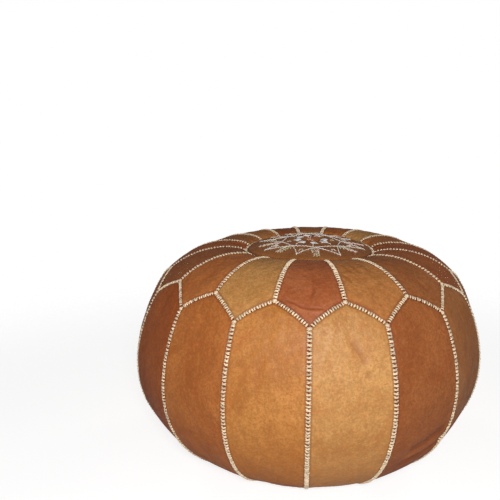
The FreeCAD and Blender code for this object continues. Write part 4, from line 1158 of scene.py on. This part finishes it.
def make_zip(cream):
    """Woven tapes, brass teeth and slider, and a row of stitches beside each tape."""
    tape_cloth = woven("zip_tape", (0.055, 0.030, 0.018), 900)
    for node in ("zip_tape_back", "zip_tape_front"):
        low, high = (np.array(corner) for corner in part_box(node))
        x, y = np.meshgrid(low[0] + (high[0] - low[0]) * np.linspace(0, 1, 181),
                           low[1] + (high[1] - low[1]) * np.linspace(0, 1, 15))
        wave = 0.12 * MM * octaves(np.stack([x, y, 0 * x], axis=-1), 90, SEED + 80, 2)
        outer = np.stack([x, y, low[2] - 0.05 * MM + wave], axis=-1)
        inner = np.stack([x, y, high[2] + wave], axis=-1)
        distance = np.minimum(y - low[1], high[1] - y)
        place_piece(shell(f"{node}_cloth", outer, inner, distance, wave), tape_cloth, node)
    metal = brass()
    for node in ("zip_teeth_back", "zip_teeth_front", "zip_stops", "zip_slider", "zip_pull"):
        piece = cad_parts[node]
        piece.data.materials.clear()
        piece.data.materials.append(metal)
    random = np.random.default_rng(SEED + 81)
    low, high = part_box("zip_stitching")
    share = np.linspace(-1, 1, 7)
    sink = 0.6 * np.abs(share) ** 4 - 0.5 * (1 - share ** 4) - 1.3
    paths = []
    for y in (low[1] + 0.5 * MM, high[1] - 0.5 * MM):
        for x in np.arange(low[0] + 2 * MM, high[0], 5.4 * MM):
            paths.append(np.stack([x + 1.8 * MM * share, np.full(7, y) + random.normal(0, 0.1 * MM),
                                   BASE_UNDER + sink * MM], axis=-1))
    ups = np.tile((0.0, 0.0, -1.0), (len(paths), 1))
    obj = threads("zip_threads", np.array(paths), ups, 1.1 * MM, 0.9 * MM,
                  random.uniform(0.7, 1.0, len(paths)))
    place_piece(obj, cream, "zip_stitching")


# ---- stage, light and camera

FLOOR_SIZE = 3.0
FLOOR_GLOW = 0.70
FADE_START, FADE_END = 0.5, 1.2  # the floor fades into the background
UNDER_GAP = 14 * MM
BACKDROP = 1.0  # what the camera sees behind the floor
AMBIENT, AMBIENT_TOP = 0.20, 0.06  # light from the side, and from above
LAMP_TARGET = Vector((0, 0, 0.15))
LAMP_SIZE = 0.5
LAMPS = [  # azimuth, elevation, distance, watts, shine
    ("key", 2, 25, 1.5, 17.8, True),
    ("back_left", 215, 5, 2.0, 13, False),
    ("back_right", 145, 5, 2.0, 13, False)]
CAMERA_PLACE = (-0.02215, -0.86518, 0.48600)
CAMERA_AIM = (78.1024, 1.2535, 4.0044)  # degrees about X, Y and Z
CAMERA_VIEW = 49.084  # degrees from side to side


def make_floor():
    """A round pale floor that fades into the white behind it."""
    turns = np.linspace(0, 2 * pi, 97)[:-1]
    mesh = new_mesh("floor", polar(FLOOR_SIZE, turns, 0.0), [range(len(turns))])
    paint = Paint("floor")
    camera_ray = paint.add("LightPath").outputs["Is Camera Ray"]
    material = paint.finish({
        "Base Color": (0.50, 0.50, 0.50, 1), "Roughness": 0.95, "Emission Color": (1, 1, 1, 1),
        "Emission Strength": paint.sum(camera_ray, FLOOR_GLOW, "MULTIPLY")})
    length = paint.add("VectorMath", {0: paint.place}, operation="LENGTH").outputs["Value"]
    fade = paint.span(length, FADE_START, FADE_END)
    # it can't be seen from below, and lets a little light up to the underside
    below = paint.add("NewGeometry").outputs["Backfacing"]
    near = paint.sum(paint.add("LightPath").outputs["Ray Length"], UNDER_GAP, "LESS_THAN")
    hidden = paint.sum(paint.sum(fade, below, "MAXIMUM"), near, "MAXIMUM")
    clear = paint.add("BsdfTransparent")
    join = paint.add("MixShader", {0: hidden, 1: paint.shader.outputs[0], 2: clear.outputs[0]})
    paint.fill(paint.output, {0: join.outputs[0]})
    mesh.materials.append(material)
    new_object("floor", mesh)


def make_world():
    """White to the camera, and a dimmer even light on the pouf."""
    world = bpy.data.worlds.new("studio")
    world.use_nodes = True
    nodes = Nodes(world.node_tree)
    height = nodes.height(nodes.coordinates.outputs["Generated"])
    sky = nodes.add("MapRange", {"Value": height, "To Min": AMBIENT, "To Max": AMBIENT_TOP})
    camera_ray = nodes.add("LightPath").outputs["Is Camera Ray"]
    strength = nodes.add("MapRange", {"Value": camera_ray, "To Min": sky.outputs["Result"],
                                      "To Max": BACKDROP})
    nodes.fill(world.node_tree.nodes["Background"],
               {"Color": (1, 1, 1, 1), "Strength": strength.outputs["Result"]})
    bpy.context.scene.world = world


def make_lights():
    make_world()
    for name, azimuth, elevation, distance, energy, shine in LAMPS:
        azimuth, elevation = radians(azimuth), radians(elevation)
        direction = Vector(polar(cos(elevation), azimuth, sin(elevation)))
        data = bpy.data.lights.new(name, "AREA")
        data.shape = "DISK"
        data.size = LAMP_SIZE
        data.energy = energy
        lamp = new_object(name, data)
        lamp.location = LAMP_TARGET + direction * distance
        lamp.visible_glossy = shine
        lamp.rotation_mode = "QUATERNION"
        lamp.rotation_quaternion = direction.to_track_quat("Z", "Y")


def make_camera():
    """A camera a little above the seat, with the pouf low and right in its frame."""
    data = bpy.data.cameras.new("camera")
    data.angle = radians(CAMERA_VIEW)
    camera = new_object("camera", data)
    camera.location = CAMERA_PLACE
    camera.rotation_euler = [radians(angle) for angle in CAMERA_AIM]
    bpy.context.scene.camera = camera


surfaces = make_cover()
cream = thread("thread_cream", (0.93, 0.72, 0.48))
make_stitching(surfaces, cream)
make_embroidery(surfaces)
make_base(surfaces, cream)
make_lining()
make_zip(cream)
make_floor()
make_camera()
make_lights()
bpy.context.scene.view_settings.view_transform = "Standard"
